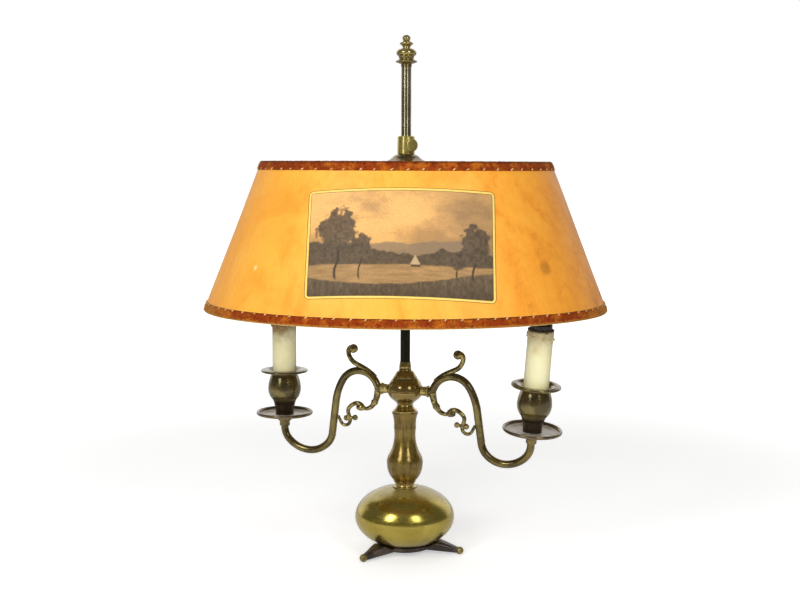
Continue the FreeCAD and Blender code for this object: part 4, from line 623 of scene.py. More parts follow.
@dataclass
class SubAssembly:
    """What every sub-assembly shares: its finishes and the body that carries it."""
    finishes: Finishes
    body: str = "stand"

    def keep(self, bm: bmesh.types.BMesh, name: str, finish: bpy.types.Material, slot: Slot,
             nodes: tuple[str, ...] = (), edge: float = 0.0, smooth_to: float = 40) -> bpy.types.Object:
        """Makes a finished piece of a mesh.

        Args:
            bm: The mesh; it is freed.
            name: The piece's name.
            finish: Its material.
            slot: A slot of the record; not used.
            nodes: The frame's nodes that it stands for.
            edge: Width of the broken edges in millimetres.
            smooth_to: Angle in degrees past which an edge is an edge.

        Returns:
            The piece, riding on the sub-assembly's body.
        """
        mesh = bpy.data.meshes.new(name)
        for face in bm.faces:
            face.smooth = True
        for rim in bm.edges:
            rim.smooth = rim.calc_face_angle(0) < math.radians(smooth_to)
        bm.to_mesh(mesh)
        bm.free()
        piece = bpy.data.objects.new(name, mesh)
        bpy.context.scene.collection.objects.link(piece)
        mesh.materials.append(finish)
        if edge:
            bevel = piece.modifiers.new("broken_edges", "BEVEL")
            bevel.width = edge * MM
            bevel.segments = 2
            bevel.limit_method = "ANGLE"
            bevel.angle_limit = math.radians(smooth_to)
            bevel.harden_normals = True
        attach(piece, self.body)
        if nodes:
            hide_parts(*nodes)
        log.info("%s: %d faces", name, len(mesh.polygons))
        return piece

    def dress(self, finish: bpy.types.Material, *nodes: str) -> None:
        """Gives nodes of the frame their finish."""
        for node in nodes:
            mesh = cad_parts[node].data
            mesh.materials.clear()
            mesh.materials.append(finish)


@dataclass
class Foot(SubAssembly):
    """Disc, three legs with ball toes, washer and nut."""
    heading: float = -15
    disc: Stations = ((5.05, 6.5), (12, 6.5), (12, 4.3), (27, 4.3, 0.2), (28, 5.3), (28, 9.0), (5.05, 9.0))
    sections: Stations = ((20, 22.5, 4.4, 8.0), (27, 22.5, 4.0, 9.3), (35, 20, 3.2, 13.0), (42, 15.6, 2.5, 11.4),
                          (49, 11.2, 1.9, 9.0), (56.4, 7.4, 1.3, 6.7), (58.5, 6.2, 1.8, 5.8))
    boxy: tuple[float, float] = (0.62, 0.3)
    toe_reach: float = 58
    toe_radius: float = 3.95
    toe_height: float = 3.65

    def turn(self, index: int) -> Matrix:
        """Where leg number index points."""
        return Matrix.Rotation(math.radians(self.heading + 120 * index), 4, "Z")

    def leg(self, bm: bmesh.types.BMesh, index: int) -> None:
        """Adds a leg: rings along its length, bridged."""
        rings = []
        for reach, width, low, high in self.sections:
            place = Matrix.Translation(Vector((reach, 0, (low + high) / 2)) * MM) @ Matrix.Rotation(math.pi / 2, 4, "Y")
            ring = bmesh.ops.create_circle(bm, cap_ends=False, segments=32, radius=MM, matrix=place)["verts"]
            for v in ring:
                y, z = v.co.y / MM, v.co.z / MM - (low + high) / 2
                power = self.boxy[0] if z > 0 else self.boxy[1]
                v.co.y = math.copysign(abs(y) ** self.boxy[0], y) * width / 2 * MM
                v.co.z = (math.copysign(abs(z) ** power, z) * (high - low) / 2 + (low + high) / 2) * MM
            rings.append(ring)
        edges = [{e for v in ring for e in v.link_edges} for ring in rings]
        for one, two in zip(edges, edges[1:]):
            bmesh.ops.bridge_loops(bm, edges=list(one | two))
        for ring in (rings[0], rings[-1]):
            bmesh.ops.contextual_create(bm, geom=ring)
        bmesh.ops.transform(bm, matrix=self.turn(index), verts=[v for ring in rings for v in ring])

    def build(self) -> None:
        """Builds the foot."""
        bm = turned(self.disc)
        for index in range(3):
            self.leg(bm, index)
        bmesh.ops.recalc_face_normals(bm, faces=bm.faces)
        piece = self.keep(bm, "foot_casting", self.finishes.leg, Slot.BRONZE, ("tripod_foot",))
        cast = piece.modifiers.new("cast_form", "REMESH")
        cast.mode, cast.voxel_size, cast.use_smooth_shade = "VOXEL", 0.6 * MM, True
        soft = piece.modifiers.new("soft_edges", "SMOOTH")
        soft.factor, soft.iterations = 0.6, 6
        toes = bmesh.new()
        for index in range(3):
            centre = self.turn(index) @ Vector((self.toe_reach, 0, 0))
            ball(toes, (centre.x, centre.y, self.toe_height), (self.toe_radius,) * 3, 40)
        bmesh.ops.bisect_plane(toes, geom=toes.verts[:] + toes.edges[:] + toes.faces[:], dist=1e-7,
                               plane_co=(0, 0, 0), plane_no=(0, 0, -1), clear_outer=True)
        bmesh.ops.holes_fill(toes, edges=[e for e in toes.edges if e.is_boundary])
        self.keep(clean(toes), "foot_toes", self.finishes.toe, Slot.AGED)
        self.dress(self.finishes.iron, "foot_washer", "foot_nut")


@dataclass
class Column(SubAssembly):
    """Ball, collar, baluster, hub, hub cap, ferrule, rod and finial."""
    ball_size: tuple[float, float, float] = (50.6, 50.6, 31.2)
    ball_centre: float = 35.7
    ball_cuts: tuple[float, float] = (9.0, 65.99)
    collar: Stations = ((5.1, 65.99), (12, 65.99), (12, 66.79, -0.22), (9.6, 69.19, -0.1), (10.4, 70.49),
                        (5.1, 70.49))
    baluster: Stations = ((5.1, 70.49), (10.4, 70.49), (10.4, 71.29), (11.3, 71.7, 0.25), (11.3, 72.5),
                          (10.5, 72.99), (12.3, 74.19, 0.09), (18.2, 89.29, 0.09), (16, 99.99, -0.085),
                          (11.3, 127.19, -0.05), (12.9, 142.09), (13.35, 142.09), (13.35, 143.69), (5.1, 143.69))
    hub: Stations = ((5.1, 143.7), (12.2, 143.7), (12.2, 145.2, -0.08), (7.8, 151.1), (9.3, 153.6),
                     (13.4, 156.9, 0.117), (17.645, 165.4), (17.3, 165.8), (17.645, 166.2, 0.0984),
                     (12.3, 178.46), (10, 178.46), (10, 176.6), (5.1, 176.6))
    cap: Stations = ((5.1, 176.68), (9.95, 176.68), (9.95, 178.47), (11.6, 178.47, 0.25), (11.6, 180.27),
                     (10.5, 180.57), (10.8, 181.07, 0.03), (8, 185.5), (5.02, 185.5))
    ferrule: Stations = ((5.02, 185.5), (6.9, 185.5, -0.08), (6.15, 190.3, -0.03), (5.45, 195.1), (5.02, 195.1))
    rod: Stations = ((0, 181.1), (5, 181.1), (5, 491.58), (0, 491.58))
    finial: Stations = ((4.2, -2.6), (5.5, -2.6), (5.5, 0), (9.85, 1.5, 0.15), (10.75, 2.4, 0.15), (9.85, 3.3, -0.1),
                        (7.4, 4.9), (7.6, 6.9, -0.1), (9.25, 8.7, 0.1), (10, 11.2, 0.17), (4.5, 15, -0.15),
                        (3.6, 15.9, -0.1), (6.3, 19, 0.25), (6.3, 20.8, -0.1), (3.3, 23.2, 0.12), (4, 25.7, 0.163),
                        (0, 28.3), (0, 10))
    finial_base: float = 491.576

    def build_ball(self) -> None:
        """Builds the flattened ball from a sphere, cut at its two seats."""
        bm = bmesh.new()
        ball(bm, (0, 0, self.ball_centre), self.ball_size, 160)
        for height, way in zip(self.ball_cuts, (-1, 1)):
            bmesh.ops.bisect_plane(bm, geom=bm.verts[:] + bm.edges[:] + bm.faces[:], dist=1e-7,
                                   plane_co=(0, 0, height * MM), plane_no=(0, 0, way), clear_outer=True)
        piece = self.keep(clean(bm), "ball_shell", self.finishes.ball, Slot.POLISHED, ("ball_body",))
        wall = piece.modifiers.new("wall", "SOLIDIFY")
        wall.thickness, wall.offset = 1.5 * MM, -1

    def build(self) -> None:
        """Builds the column from the ball up."""
        f = self.finishes
        self.build_ball()
        finial = tuple((s[0], s[1] + self.finial_base, *s[2:]) for s in self.finial)
        for name, stations, finish, slot, nodes in (
                ("neck_collar_turned", self.collar, f.collar, Slot.POLISHED, ("neck_collar",)),
                ("baluster_turned", self.baluster, f.column, Slot.AGED, ("baluster",)),
                ("hub_turned", self.hub, f.hub, Slot.AGED, ("arm_hub",)),
                ("hub_cap_turned", self.cap, f.hub, Slot.AGED, ("hub_cap",)),
                ("rod_ferrule_turned", self.ferrule, f.hub, Slot.POLISHED, ("rod_ferrule",)),
                ("rod_bar", self.rod, f.rod, Slot.POLISHED, ("rod",)),
                ("finial_turned", finial, f.turnery, Slot.AGED, ("finial",))):
            self.keep(turned(stations, sides=128, fine=0.4), name, finish, slot, nodes, 0.18, 25)
        self.dress(f.iron, "ballast_weight")
        self.dress(f.steel, "threaded_pipe", "column_nut", "rod_nut")
        self.dress(f.turnery, "inlet_bush")
        self.dress(f.insulation, "mains_lead")
        self.dress(f.block, "terminal_block")


@dataclass
class CandleArm(SubAssembly):
    """One bent arm with its scrolls, pan, cup, lampholder and sleeve."""
    side: str = "right"
    heading: float = -20.2
    twist: float = 3.5
    lean: float = 5
    drop: float = 33.05
    arch: tuple[Bend, ...] = (Bend(5.5, 68), Bend(21.2, -68), Bend(20.9, -60), Bend(60.7, -23))
    turn_out: Bend = Bend(20.4, 38)
    bowl: tuple[float, float] = (25.7, 29.8)
    turn_up_radius: float = 19.4
    last_run: float = 12.8
    end: tuple[float, float] = (131.855, 130.542)
    start: tuple[float, float] = (25.5, 166.01)
    tube_radius: float = 3.9
    nipple: Stations = ((2.2, 14.0), (3.5, 14.0), (3.5, 17.52), (5.1, 17.52, -0.1), (4.8, 20.47, -0.1),
                        (6.1, 24.6, 0.15), (5.65, 25.5), (2.2, 25.5))
    ferrule: Stations = ((3.95, -9.8), (4.8, -9.8), (5.4, -9), (5.4, -5.2, -0.1), (7.1, -3.6), (7.1, 1.6),
                         (4.05, 1.6))
    pan: Stations = ((4.05, 1.6), (20, 1.6, 0.04), (25.9, 2.1), (27.7, 2.5, 0.2071), (29.5, 4.3, 0.2071),
                     (27.7, 6.1, 0.15), (25.9, 3.4, -0.04), (20, 2.7), (4.05, 2.7))
    cup: Stations = ((4.05, 2.7), (9.6, 2.7), (9.6, 5.1, -0.06), (11.0, 13.7, -0.05), (12.4, 18, 0.1),
                     (17.1, 30.5, 0.05), (13.65, 45.1, -0.2), (24, 47.8, 0.25), (24, 50.1), (22.7, 50.1, 0.18),
                     (12.8, 46.4, -0.05), (15.8, 30.5, -0.06), (12.8, 21), (11.1, 21), (11.1, 18), (9.7, 13.7),
                     (8.04, 5.7), (4.05, 5.7))
    sleeve: Stations = ((11.4, 21), (12.5, 21), (12.5, 104.1, 0.2), (12.0, 105.5), (11.4, 105.5))
    holder: Stations = ((4.05, 66), (9.8, 66), (10.8, 67), (10.8, 109.5, 0.15), (9.4, 112), (8.0, 112),
                        (8.0, 88), (6.4, 88), (6.4, 71), (4.05, 71))
    thread_radius: float = 7.5
    thread_depth: float = 0.25
    thread_span: tuple[float, float] = (89, 110)
    thread_pitch: float = 2.8
    shell_wall: float = 0.4
    tail: tuple[tuple[float, float], ...] = ((32.6, 176.7), (47.5, 187.0), (54.3, 190.2), (62.1, 202.4),
                                             (58.5, 207.0))
    leaf: tuple[tuple[float, float], ...] = ((29.3, 165.6), (31.5, 154.4), (36.0, 146.9), (43.8, 143.6))
    curl: tuple[float, float, float] = (56.5, 205.3, 4.75)
    crossbar: tuple[float, float, float, float] = (54.7, 133.5, 9.85, 1.6)
    knobs: tuple[tuple[float, float, float, float], ...] = (
        (48.3, 144.4, 5.3, 3.3), (54.7, 133.5, 3.0, 3.0), (64.5, 132.5, 3.0, 3.0), (51.6, 148.6, 2.0, 2.0),
        (33.2, 151.0, 3.9, 3.6))
    scorched: Stations = ((11.3, 103.6), (12.55, 103.6), (12.9, 104.6, 0.3), (12.2, 105.75), (11.3, 105.6))
    wax_top: float = 105.0
    wax_runs: int = 10
    stem: tuple[tuple[float, float], ...] = ((46.6, 145.6), (50.6, 148.5), (56.2, 147.7), (61.0, 143.9),
                                             (62.3, 138.0), (60.6, 133.0), (60.7, 128.2), (65.2, 124.9),
                                             (70.2, 127.6), (73.8, 134.2))

    def plane(self) -> Matrix:
        """The arm's own plane, screwed round a little in the hub."""
        axle = Matrix.Translation((0, 0, self.start[1] * MM))
        return (Matrix.Rotation(math.radians(self.heading), 4, "Z") @ axle
                @ Matrix.Rotation(math.radians(self.twist), 4, "X") @ axle.inverted())

    def candle(self) -> Matrix:
        """Where the pan, the cup and the sleeve stand."""
        return (self.plane() @ Matrix.Translation((self.end[0] * MM, 0, self.end[1] * MM))
                @ Matrix.Rotation(math.radians(self.lean), 4, "Y"))

    def build_tube(self) -> None:
        """Builds the bent tube."""
        bm = bmesh.new()
        route = (*self.arch, Run(self.drop), self.turn_out, Bend(self.bowl[0], 45), Bend(self.bowl[1], 45),
                 Bend(self.turn_up_radius, 45 - self.lean), Run(self.last_run))
        swept(bm, self.start, 0, route, (self.tube_radius,) * 2, 32)
        clean(bm)
        bmesh.ops.transform(bm, matrix=self.plane(), verts=bm.verts)
        self.keep(bm, f"arm_bar_{self.side}", self.finishes.arm, Slot.AGED, (f"arm_tube_{self.side}",))

    def cast(self, bm: bmesh.types.BMesh, name: str, node: str) -> None:
        """Melts the joined forms of a scroll together, as a casting."""
        bmesh.ops.recalc_face_normals(bm, faces=bm.faces)
        bmesh.ops.transform(bm, matrix=self.plane(), verts=bm.verts)
        piece = self.keep(bm, name, self.finishes.scroll, Slot.POLISHED, (node,))
        melt = piece.modifiers.new("melt", "REMESH")
        melt.mode, melt.voxel_size, melt.use_smooth_shade = "VOXEL", 0.4 * MM, True
        soft = piece.modifiers.new("soft_edges", "SMOOTH")
        soft.factor, soft.iterations = 0.5, 3

    def build_scrolls(self) -> None:
        """Builds the upper scroll with its ball, and the lower leaf scroll."""
        bm = bmesh.new()
        swept(bm, self.tail[0], 45, bends_through(self.tail, 45), (2.9, 2.4), 20)
        x, z, radius = self.curl
        ball(bm, (x, 0, z), (radius,) * 3)
        self.cast(bm, f"upper_curl_{self.side}", f"upper_scroll_{self.side}")
        bm = bmesh.new()
        swept(bm, self.leaf[0], -86, bends_through(self.leaf, -86), (3.9, 2.0), 20)
        swept(bm, self.stem[0], 60, bends_through(self.stem, 60), (2.5, 1.6), 20)
        x, z, length, thick = self.crossbar
        swept(bm, (x, z), -5.83, (Run(length),), (thick, thick), 12)
        for x, z, long, short in self.knobs:
            ball(bm, (x, 0, z), (long, short, short), 20)
        self.cast(bm, f"lower_leaf_{self.side}", f"lower_scroll_{self.side}")

    def build_rim(self) -> None:
        """Builds the runs of moulded wax under the sleeve's rim, and its scorched edge."""
        chance = np.random.default_rng(7 if self.side == "right" else 9)
        bm = bmesh.new()
        for index in range(self.wax_runs):
            angle = 2 * math.pi * (index + float(chance.uniform(-0.3, 0.3))) / self.wax_runs
            length = float(chance.uniform(3, 9))
            around = Matrix.Rotation(angle, 4, "Z")
            run = ((self.wax_top - length / 2, (0.7, 1.2, length / 2)), (self.wax_top - length, (1.9, 1.8, 2.0)))
            for low, size in run:
                matrix = around @ Matrix.Translation(Vector((12.45, 0, low)) * MM)
                bmesh.ops.create_uvsphere(bm, u_segments=16, v_segments=12, radius=1,
                                          matrix=matrix @ Matrix.Diagonal((*(Vector(size) * MM), 1)))
        bmesh.ops.transform(bm, matrix=self.candle(), verts=bm.verts)
        self.keep(bm, f"wax_runs_{self.side}", self.finishes.sleeves[self.side], Slot.SLEEVE)
        bm = turned(self.scorched, sides=90, fine=0.6)
        for v in bm.verts:
            angle = math.atan2(v.co.y, v.co.x)
            if v.co.z < 104.8 * MM:
                v.co.z += 0.5 * MM * math.sin(5 * angle + 1.3 * math.sin(3 * angle)) * math.sin(9 * angle)
        bmesh.ops.transform(bm, matrix=self.candle(), verts=bm.verts)
        self.keep(bm, f"sleeve_rim_{self.side}", self.finishes.wax, Slot.SLEEVE)

    def build_shell(self) -> None:
        """Builds the threaded brass shell in the lampholder."""
        low, high = self.thread_span
        step = self.thread_pitch / 4
        outside = [(self.thread_radius + self.thread_depth * math.sin(index * math.pi / 2), low + index * step)
                   for index in range(round((high - low) / step) + 1)]
        inside = [(radius - self.shell_wall, height) for radius, height in reversed(outside)]
        bm = turned(((7.05, 88), (7.9, 88), *outside, *inside), self.candle(), 48)
        self.keep(bm, f"threaded_shell_{self.side}", self.finishes.light, Slot.LIGHT, (f"screw_shell_{self.side}",))

    def build(self) -> None:
        """Builds the arm from the hub outwards."""
        f, side = self.finishes, self.side
        self.build_tube()
        self.build_scrolls()
        lying = self.plane() @ Matrix.Translation((0, 0, self.start[1] * MM)) @ Matrix.Rotation(math.pi / 2, 4, "Y")
        self.keep(turned(self.nipple, lying), f"nipple_turned_{side}", f.collar, Slot.POLISHED,
                  (f"arm_nipple_{side}",), 0.15, 25)
        for name, stations, finish, slot, node, edge in (
                ("tube_socket", self.ferrule, f.arm, Slot.POLISHED, "end_ferrule", 0.15),
                ("wax_pan", self.pan, f.pan, Slot.AGED, "drip_pan", 0.1),
                ("cup_turned", self.cup, f.cup, Slot.BRONZE, "candle_cup", 0.12),
                ("sleeve_tube", self.sleeve, f.sleeves[side], Slot.SLEEVE, "candle_sleeve", 0.15),
                ("holder_moulded", self.holder, f.bakelite, Slot.BAKELITE, "lampholder", 0.2)):
            bm = turned(stations, self.candle(), 96, 0.4)
            self.keep(bm, f"{name}_{side}", finish, slot, (f"{node}_{side}",), edge, 25)
        self.build_rim()
        self.build_shell()
        self.dress(f.steel, f"cup_nut_{side}", f"candle_pipe_{side}")
        self.dress(f.insulation, f"arm_lead_{side}")


@dataclass
class Carrier(SubAssembly):
    """Sliding collar with the thumb screw that clamps it."""
    body: str = "carrier"
    collar: Stations = ((5.1, 386.2), (6.45, 386.2), (6.45, 403.02), (7.75, 403.02), (8.65, 403.92),
                        (8.65, 420.3), (7.75, 421.2), (5.1, 421.2))
    screw: Stations = ((0, 5.3), (2, 5.3), (2, 8.95), (3.2, 8.95), (3.2, 9.9), (5.4, 9.9, 0.2), (6.4, 10.9),
                       (6.4, 12.6, 0.2), (5.3, 13.5, 0.03), (0, 13.7))
    screw_height: float = 412
    screw_heading: float = -63

    def build(self) -> None:
        """Builds the collar and the screw."""
        self.keep(turned(self.collar, sides=96), "sliding_collar", self.finishes.light, Slot.LIGHT,
                  ("shade_clamp",), 0.15, 25)
        self.dress(self.finishes.light, "clamp_ring")
        place = (Matrix.Rotation(math.radians(self.screw_heading), 4, "Z")
                 @ Matrix.Translation((0, 0, self.screw_height * MM)) @ Matrix.Rotation(math.pi / 2, 4, "Y"))
        bm = turned(self.screw, sides=88, fine=0.4)
        for v in bm.verts:
            if v.co.xy.length > 6.2 * MM and round(math.atan2(v.co.y, v.co.x) / (math.pi / 44)) % 2:
                v.co.x, v.co.y = v.co.x * 0.965, v.co.y * 0.965
        bmesh.ops.transform(bm, matrix=place, verts=bm.verts)
        self.body = "screw"
        self.keep(bm, "thumb_screw_turned", self.finishes.light, Slot.LIGHT, ("thumb_screw",), 0, 35)


@dataclass
class Landscape:
    """A made-up river landscape in sepia, painted point by point."""
    columns: int = 236
    rows: int = 140
    seed: int = 11
    proportion: float = 1.68
    crowns: tuple[tuple[float, ...], ...] = ((0.165, 0.60, 0.125, 0.24, 0.008), (0.29, 0.47, 0.06, 0.13, 0.005),
                                             (0.885, 0.50, 0.085, 0.20, 0.007), (0.80, 0.36, 0.05, 0.09, 0.004))

    def clouds(self, u: np.ndarray, v: np.ndarray, octaves: int, salt: int) -> np.ndarray:
        """Layered smooth noise from 0 to 1.

        Args:
            u: Positions across, in cells of the coarsest layer.
            v: Positions up, in the same cells.
            octaves: Number of layers.
            salt: Makes one pattern differ from another.

        Returns:
            The noise at each position.
        """
        lattice = np.random.default_rng(self.seed + salt).random((256, 256))
        total, weight, share = np.zeros_like(u), 0.0, 1.0
        for _ in range(octaves):
            i, j = np.floor(u).astype(int), np.floor(v).astype(int)
            a, b = u - i, v - j
            a, b = a * a * (3 - 2 * a), b * b * (3 - 2 * b)
            low = lattice[i % 256, j % 256] * (1 - a) + lattice[(i + 1) % 256, j % 256] * a
            high = lattice[i % 256, (j + 1) % 256] * (1 - a) + lattice[(i + 1) % 256, (j + 1) % 256] * a
            total += share * (low * (1 - b) + high * b)
            weight += share
            u, v, share = u * 2.03 + 17.3, v * 2.03 + 5.1, share * 0.55
        return total / weight

    @staticmethod
    def step(low: float, high: float, value: np.ndarray) -> np.ndarray:
        """A smooth step from 0 at low to 1 at high."""
        share = np.clip((value - low) / (high - low), 0, 1)
        return share * share * (3 - 2 * share)

    @staticmethod
    def over(base: np.ndarray, mask: np.ndarray, colour: object) -> np.ndarray:
        """One layer of paint over another."""
        return base * (1 - mask[:, None]) + np.asarray(colour) * mask[:, None]

    @staticmethod
    def tint(colour: Colour, strength: np.ndarray) -> np.ndarray:
        """A colour, stronger or weaker from place to place."""
        return np.array(colour)[None, :] * strength[:, None]

    def sky(self, u: np.ndarray, v: np.ndarray, wide: np.ndarray) -> np.ndarray:
        """An evening sky with lit and dark clouds."""
        sky = self.tint((0.80, 0.43, 0.14), 0.72 + 0.5 * self.step(0.2, 0.75, v))
        sky = self.over(sky, self.step(0.42, 0.7, self.clouds(wide * 3, v * 5, 5, 1)) * 0.5, (0.88, 0.50, 0.18))
        sky = self.over(sky, self.step(0.45, 0.75, self.clouds(wide * 2.2, v * 4, 5, 2)) * 0.6, (0.27, 0.155, 0.07))
        return self.over(sky, self.step(0.75, 1.05, u + 0.25 * v) * 0.45, (0.17, 0.12, 0.075))

    def woods(self, picture: np.ndarray, u: np.ndarray, v: np.ndarray, wide: np.ndarray) -> np.ndarray:
        """Far hills, and the woods before them."""
        hills = 0.47 + 0.13 * self.clouds(wide * 3.1, 0 * v, 4, 3) - 0.10 * np.abs(u - 0.62)
        picture = self.over(picture, self.step(0.004, -0.012, v - hills) * 0.8, (0.26, 0.185, 0.115))
        tops = 0.35 + 0.15 * self.clouds(wide * 5.2, 0 * v + 3, 5, 5) + 0.10 * self.step(0.45, 0.0, u)
        leaves = self.tint((0.105, 0.073, 0.042), 0.55 + 1.0 * self.clouds(wide * 46, v * 46, 3, 4))
        return self.over(picture, self.step(0.003, -0.01, v - tops), leaves)

    def river(self, picture: np.ndarray, u: np.ndarray, v: np.ndarray, wide: np.ndarray) -> np.ndarray:
        """The river and the meadow on its near bank."""
        near_bank = 0.235 - 0.11 * np.sin(3.0 * u + 0.4)
        far_bank = 0.30 + 0.03 * self.clouds(wide * 6, 0 * v + 9, 4, 6)
        water = self.tint((0.42, 0.245, 0.095), 0.62 + 0.7 * self.clouds(wide * 9, v * 70, 3, 7))
        river = self.step(0.0, -0.012, v - far_bank) * self.step(-0.02, 0.02, v - near_bank)
        picture = self.over(picture, river, water)
        lawn = near_bank + 0.02 * self.clouds(wide * 16, v * 0, 3, 8)
        grass = self.tint((0.14, 0.095, 0.052), 0.35 + 1.3 * self.clouds(wide * 60, v * 26, 4, 9))
        grass = grass * (0.55 + 2.4 * np.clip(v, 0, 0.35))[:, None]
        return self.over(picture, self.step(0.004, -0.006, v - lawn), grass)

    def trees(self, picture: np.ndarray, u: np.ndarray, v: np.ndarray, wide: np.ndarray) -> np.ndarray:
        """The trees on the near bank."""
        leaves = self.tint((0.085, 0.06, 0.036), 0.4 + 1.6 * self.clouds(wide * 46, v * 46, 3, 4))
        for x, z, wide_by, high_by, trunk in self.crowns:
            ragged = self.clouds(wide * 22, v * 22, 4, int(x * 100)) - 0.5
            crown = np.hypot((u - x) / wide_by, (v - z) / high_by) + 0.9 * ragged
            stem = (self.step(1.0, 0.6, np.abs(u - x - 0.01 * np.sin(v * 20)) / trunk)
                    * self.step(0.16, 0.2, v) * self.step(0.02, -0.02, v - z))
            picture = self.over(picture, stem, (0.05, 0.035, 0.022))
            picture = self.over(picture, self.step(0.93, 0.74, crown) * 0.95, leaves)
        return picture

    def boat(self, picture: np.ndarray, u: np.ndarray, v: np.ndarray) -> np.ndarray:
        """A small sailing boat."""
        sail = np.minimum.reduce([(v - 0.305) * 60, (0.40 - v) * 60 - np.abs(u - 0.575) * 190])
        picture = self.over(picture, self.step(0.0, 0.6, sail) * 0.9, (0.62, 0.44, 0.24))
        hull = np.minimum.reduce([(0.306 - v) * 160, (v - 0.29) * 160, 4 - np.abs(u - 0.577) * 150])
        return self.over(picture, self.step(0.0, 0.5, hull), (0.06, 0.042, 0.028))

    def paint(self, u: np.ndarray, v: np.ndarray) -> np.ndarray:
        """Colours of the picture.

        Args:
            u: Places across, from 0 to 1.
            v: Places up, from 0 to 1.

        Returns:
            Linear colours, one row for each place.
        """
        wide = u * self.proportion
        picture = self.sky(u, v, wide)
        for layer in (self.woods, self.river, self.trees):
            picture = layer(picture, u, v, wide)
        return np.clip(self.boat(picture, u, v), 0.01, 1)


@dataclass
class Shade(SubAssembly):
    """Oval parchment shade with its velvet edging, picture, dome cap and wires."""
    body: str = "shade"
    low: tuple[float, float, float] = (202.0, 165.0, 249.7)
    high: tuple[float, float, float] = (144.3, 118.3, 396.0)
    skin_inset: float = 0.8
    skin_span: tuple[float, float] = (250.5, 395.2)
    bottom_edging: Stations = ((0.75, 258.1), (0.05, 257.4, 0.1), (-0.45, 253.8, 0.1), (0.1, 250.3, 0.2),
                               (1.2, 249.5), (2.6, 250.0), (3.0, 252), (2.7, 256.6), (1.85, 257.4), (1.8, 252))
    top_edging: Stations = ((0.1, 388.1), (-0.45, 391.8), (0.0, 395.4), (1.2, 396.3), (2.7, 395.8), (3.1, 393.6),
                            (2.7, 389.2), (1.85, 388.6), (1.8, 394), (0.75, 387.6))
    cord: Stations = ((1.0, 249.5, 0.207), (1.5, 249.0, 0.207), (2.0, 249.5, 0.207), (1.5, 250.0, 0.207))
    stitches: tuple[int, int] = (80, 58)
    stitch_heights: tuple[float, float] = (257.4, 388.9)
    stitch_lean: tuple[float, float] = (33, 9)
    stitch_length: tuple[float, float] = (1.6, 0.25)
    stitch_thickness: tuple[float, float] = (0.42, 0.56)
    pile: tuple[float, float] = (0.075, 0.2)
    seam_width: float = 12
    seam_margin: float = 7
    corners: tuple[tuple[float, float], ...] = ((-91.5, 272.6), (80.6, 269.4), (80.4, 368.4), (-88.6, 368.4))
    bow: float = 4.4
    dome: Stations = ((6.55, 402.2), (8.8, 402.2, -0.07), (13.2, 399.3, 0.08), (24, 394.4), (24.6, 394.9),
                      (24, 395.4, -0.08), (13.6, 400.1, 0.07), (9.2, 403), (6.55, 403))

    def axes(self, height: float) -> tuple[float, float]:
        """Half length and half width of the shade's cone at a height, in millimetres."""
        share = (height - self.low[2]) / (self.high[2] - self.low[2])
        return tuple(l + (h - l) * share for l, h in zip(self.low[:2], self.high[:2]))

    def ripple(self, angle: float, height: float) -> float:
        """How far the skin stands off its true oval, in millimetres."""
        share = math.sin(math.pi * min(1.0, max(0.0, (height - 250) / 146)))
        return 0.55 * share * (math.sin(3 * angle + 0.7) * 0.5 + math.sin(5 * angle + height * 0.02) * 0.35
                               + math.sin(11 * angle - height * 0.03) * 0.15)

    def at(self, angle: float, height: float, inset: float) -> Vector:
        """A point of the cone in metres, drawn in by an inset."""
        long, wide = self.axes(height)
        return Vector(((long - inset) * math.cos(angle), (wide - inset) * math.sin(angle), height)) * MM

    def oval(self, bm: bmesh.types.BMesh, wave: float = 0) -> None:
        """Sets a turned form, drawn with inset and height, on the oval cone."""
        for v in bm.verts:
            angle = math.atan2(v.co.y, v.co.x)
            height = v.co.z / MM
            inset = 300 - v.co.xy.length / MM
            v.co = self.at(angle, height, inset - wave * self.ripple(angle, height))

    def banded(self, stations: Stations, sides: int, fine: float = 1.0, closed: bool = True) -> bmesh.types.BMesh:
        """A band around the shade, its outline given as (inset, height)."""
        return turned(tuple((300 - s[0], *s[1:]) for s in stations), sides=sides, fine=fine, closed=closed)

    def build_skin(self) -> None:
        """Builds the parchment skin and the strip over its seam at the back."""
        low, high = self.skin_span
        heights = [low + (high - low) * step / 28 for step in range(29)]
        bm = self.banded(tuple((self.skin_inset, h) for h in heights), 240, closed=False)
        self.oval(bm, 1)
        if sum((f.normal.dot(f.calc_center_median() - Vector((0, 0, 0.32))) for f in bm.faces)) < 0:
            bmesh.ops.reverse_faces(bm, faces=bm.faces)
        piece = self.keep(bm, "parchment_skin", self.finishes.parchment, Slot.PARCHMENT, ("shade_skin",))
        # The skin's inner wall takes the dark brown lining, painted shade of the dim inside.
        piece.data.materials.append(self.finishes.painted_shade_lining)
        wall = piece.modifiers.new("wall", "SOLIDIFY")
        wall.thickness, wall.offset, wall.material_offset = 1.0 * MM, -1, 1
        strip = bmesh.new()
        bmesh.ops.create_grid(strip, x_segments=8, y_segments=24, size=0.5)
        for v in strip.verts:
            height = low + self.seam_margin + (high - low - 2 * self.seam_margin) * (v.co.y + 0.5)
            angle = math.pi / 2 + v.co.x * self.seam_width / self.axes(height)[0]
            off = 0.35 if abs(v.co.x) < 0.45 else 0.02
            v.co = self.at(angle, height, self.skin_inset - off - self.ripple(angle, height))
        bmesh.ops.recalc_face_normals(strip, faces=strip.faces)
        if strip.faces[:][0].normal.y < 0:
            bmesh.ops.reverse_faces(strip, faces=strip.faces)
        piece = self.keep(strip, "back_seam", self.finishes.parchment, Slot.PARCHMENT)
        wall = piece.modifiers.new("wall", "SOLIDIFY")
        wall.thickness, wall.offset = 0.3 * MM, -1

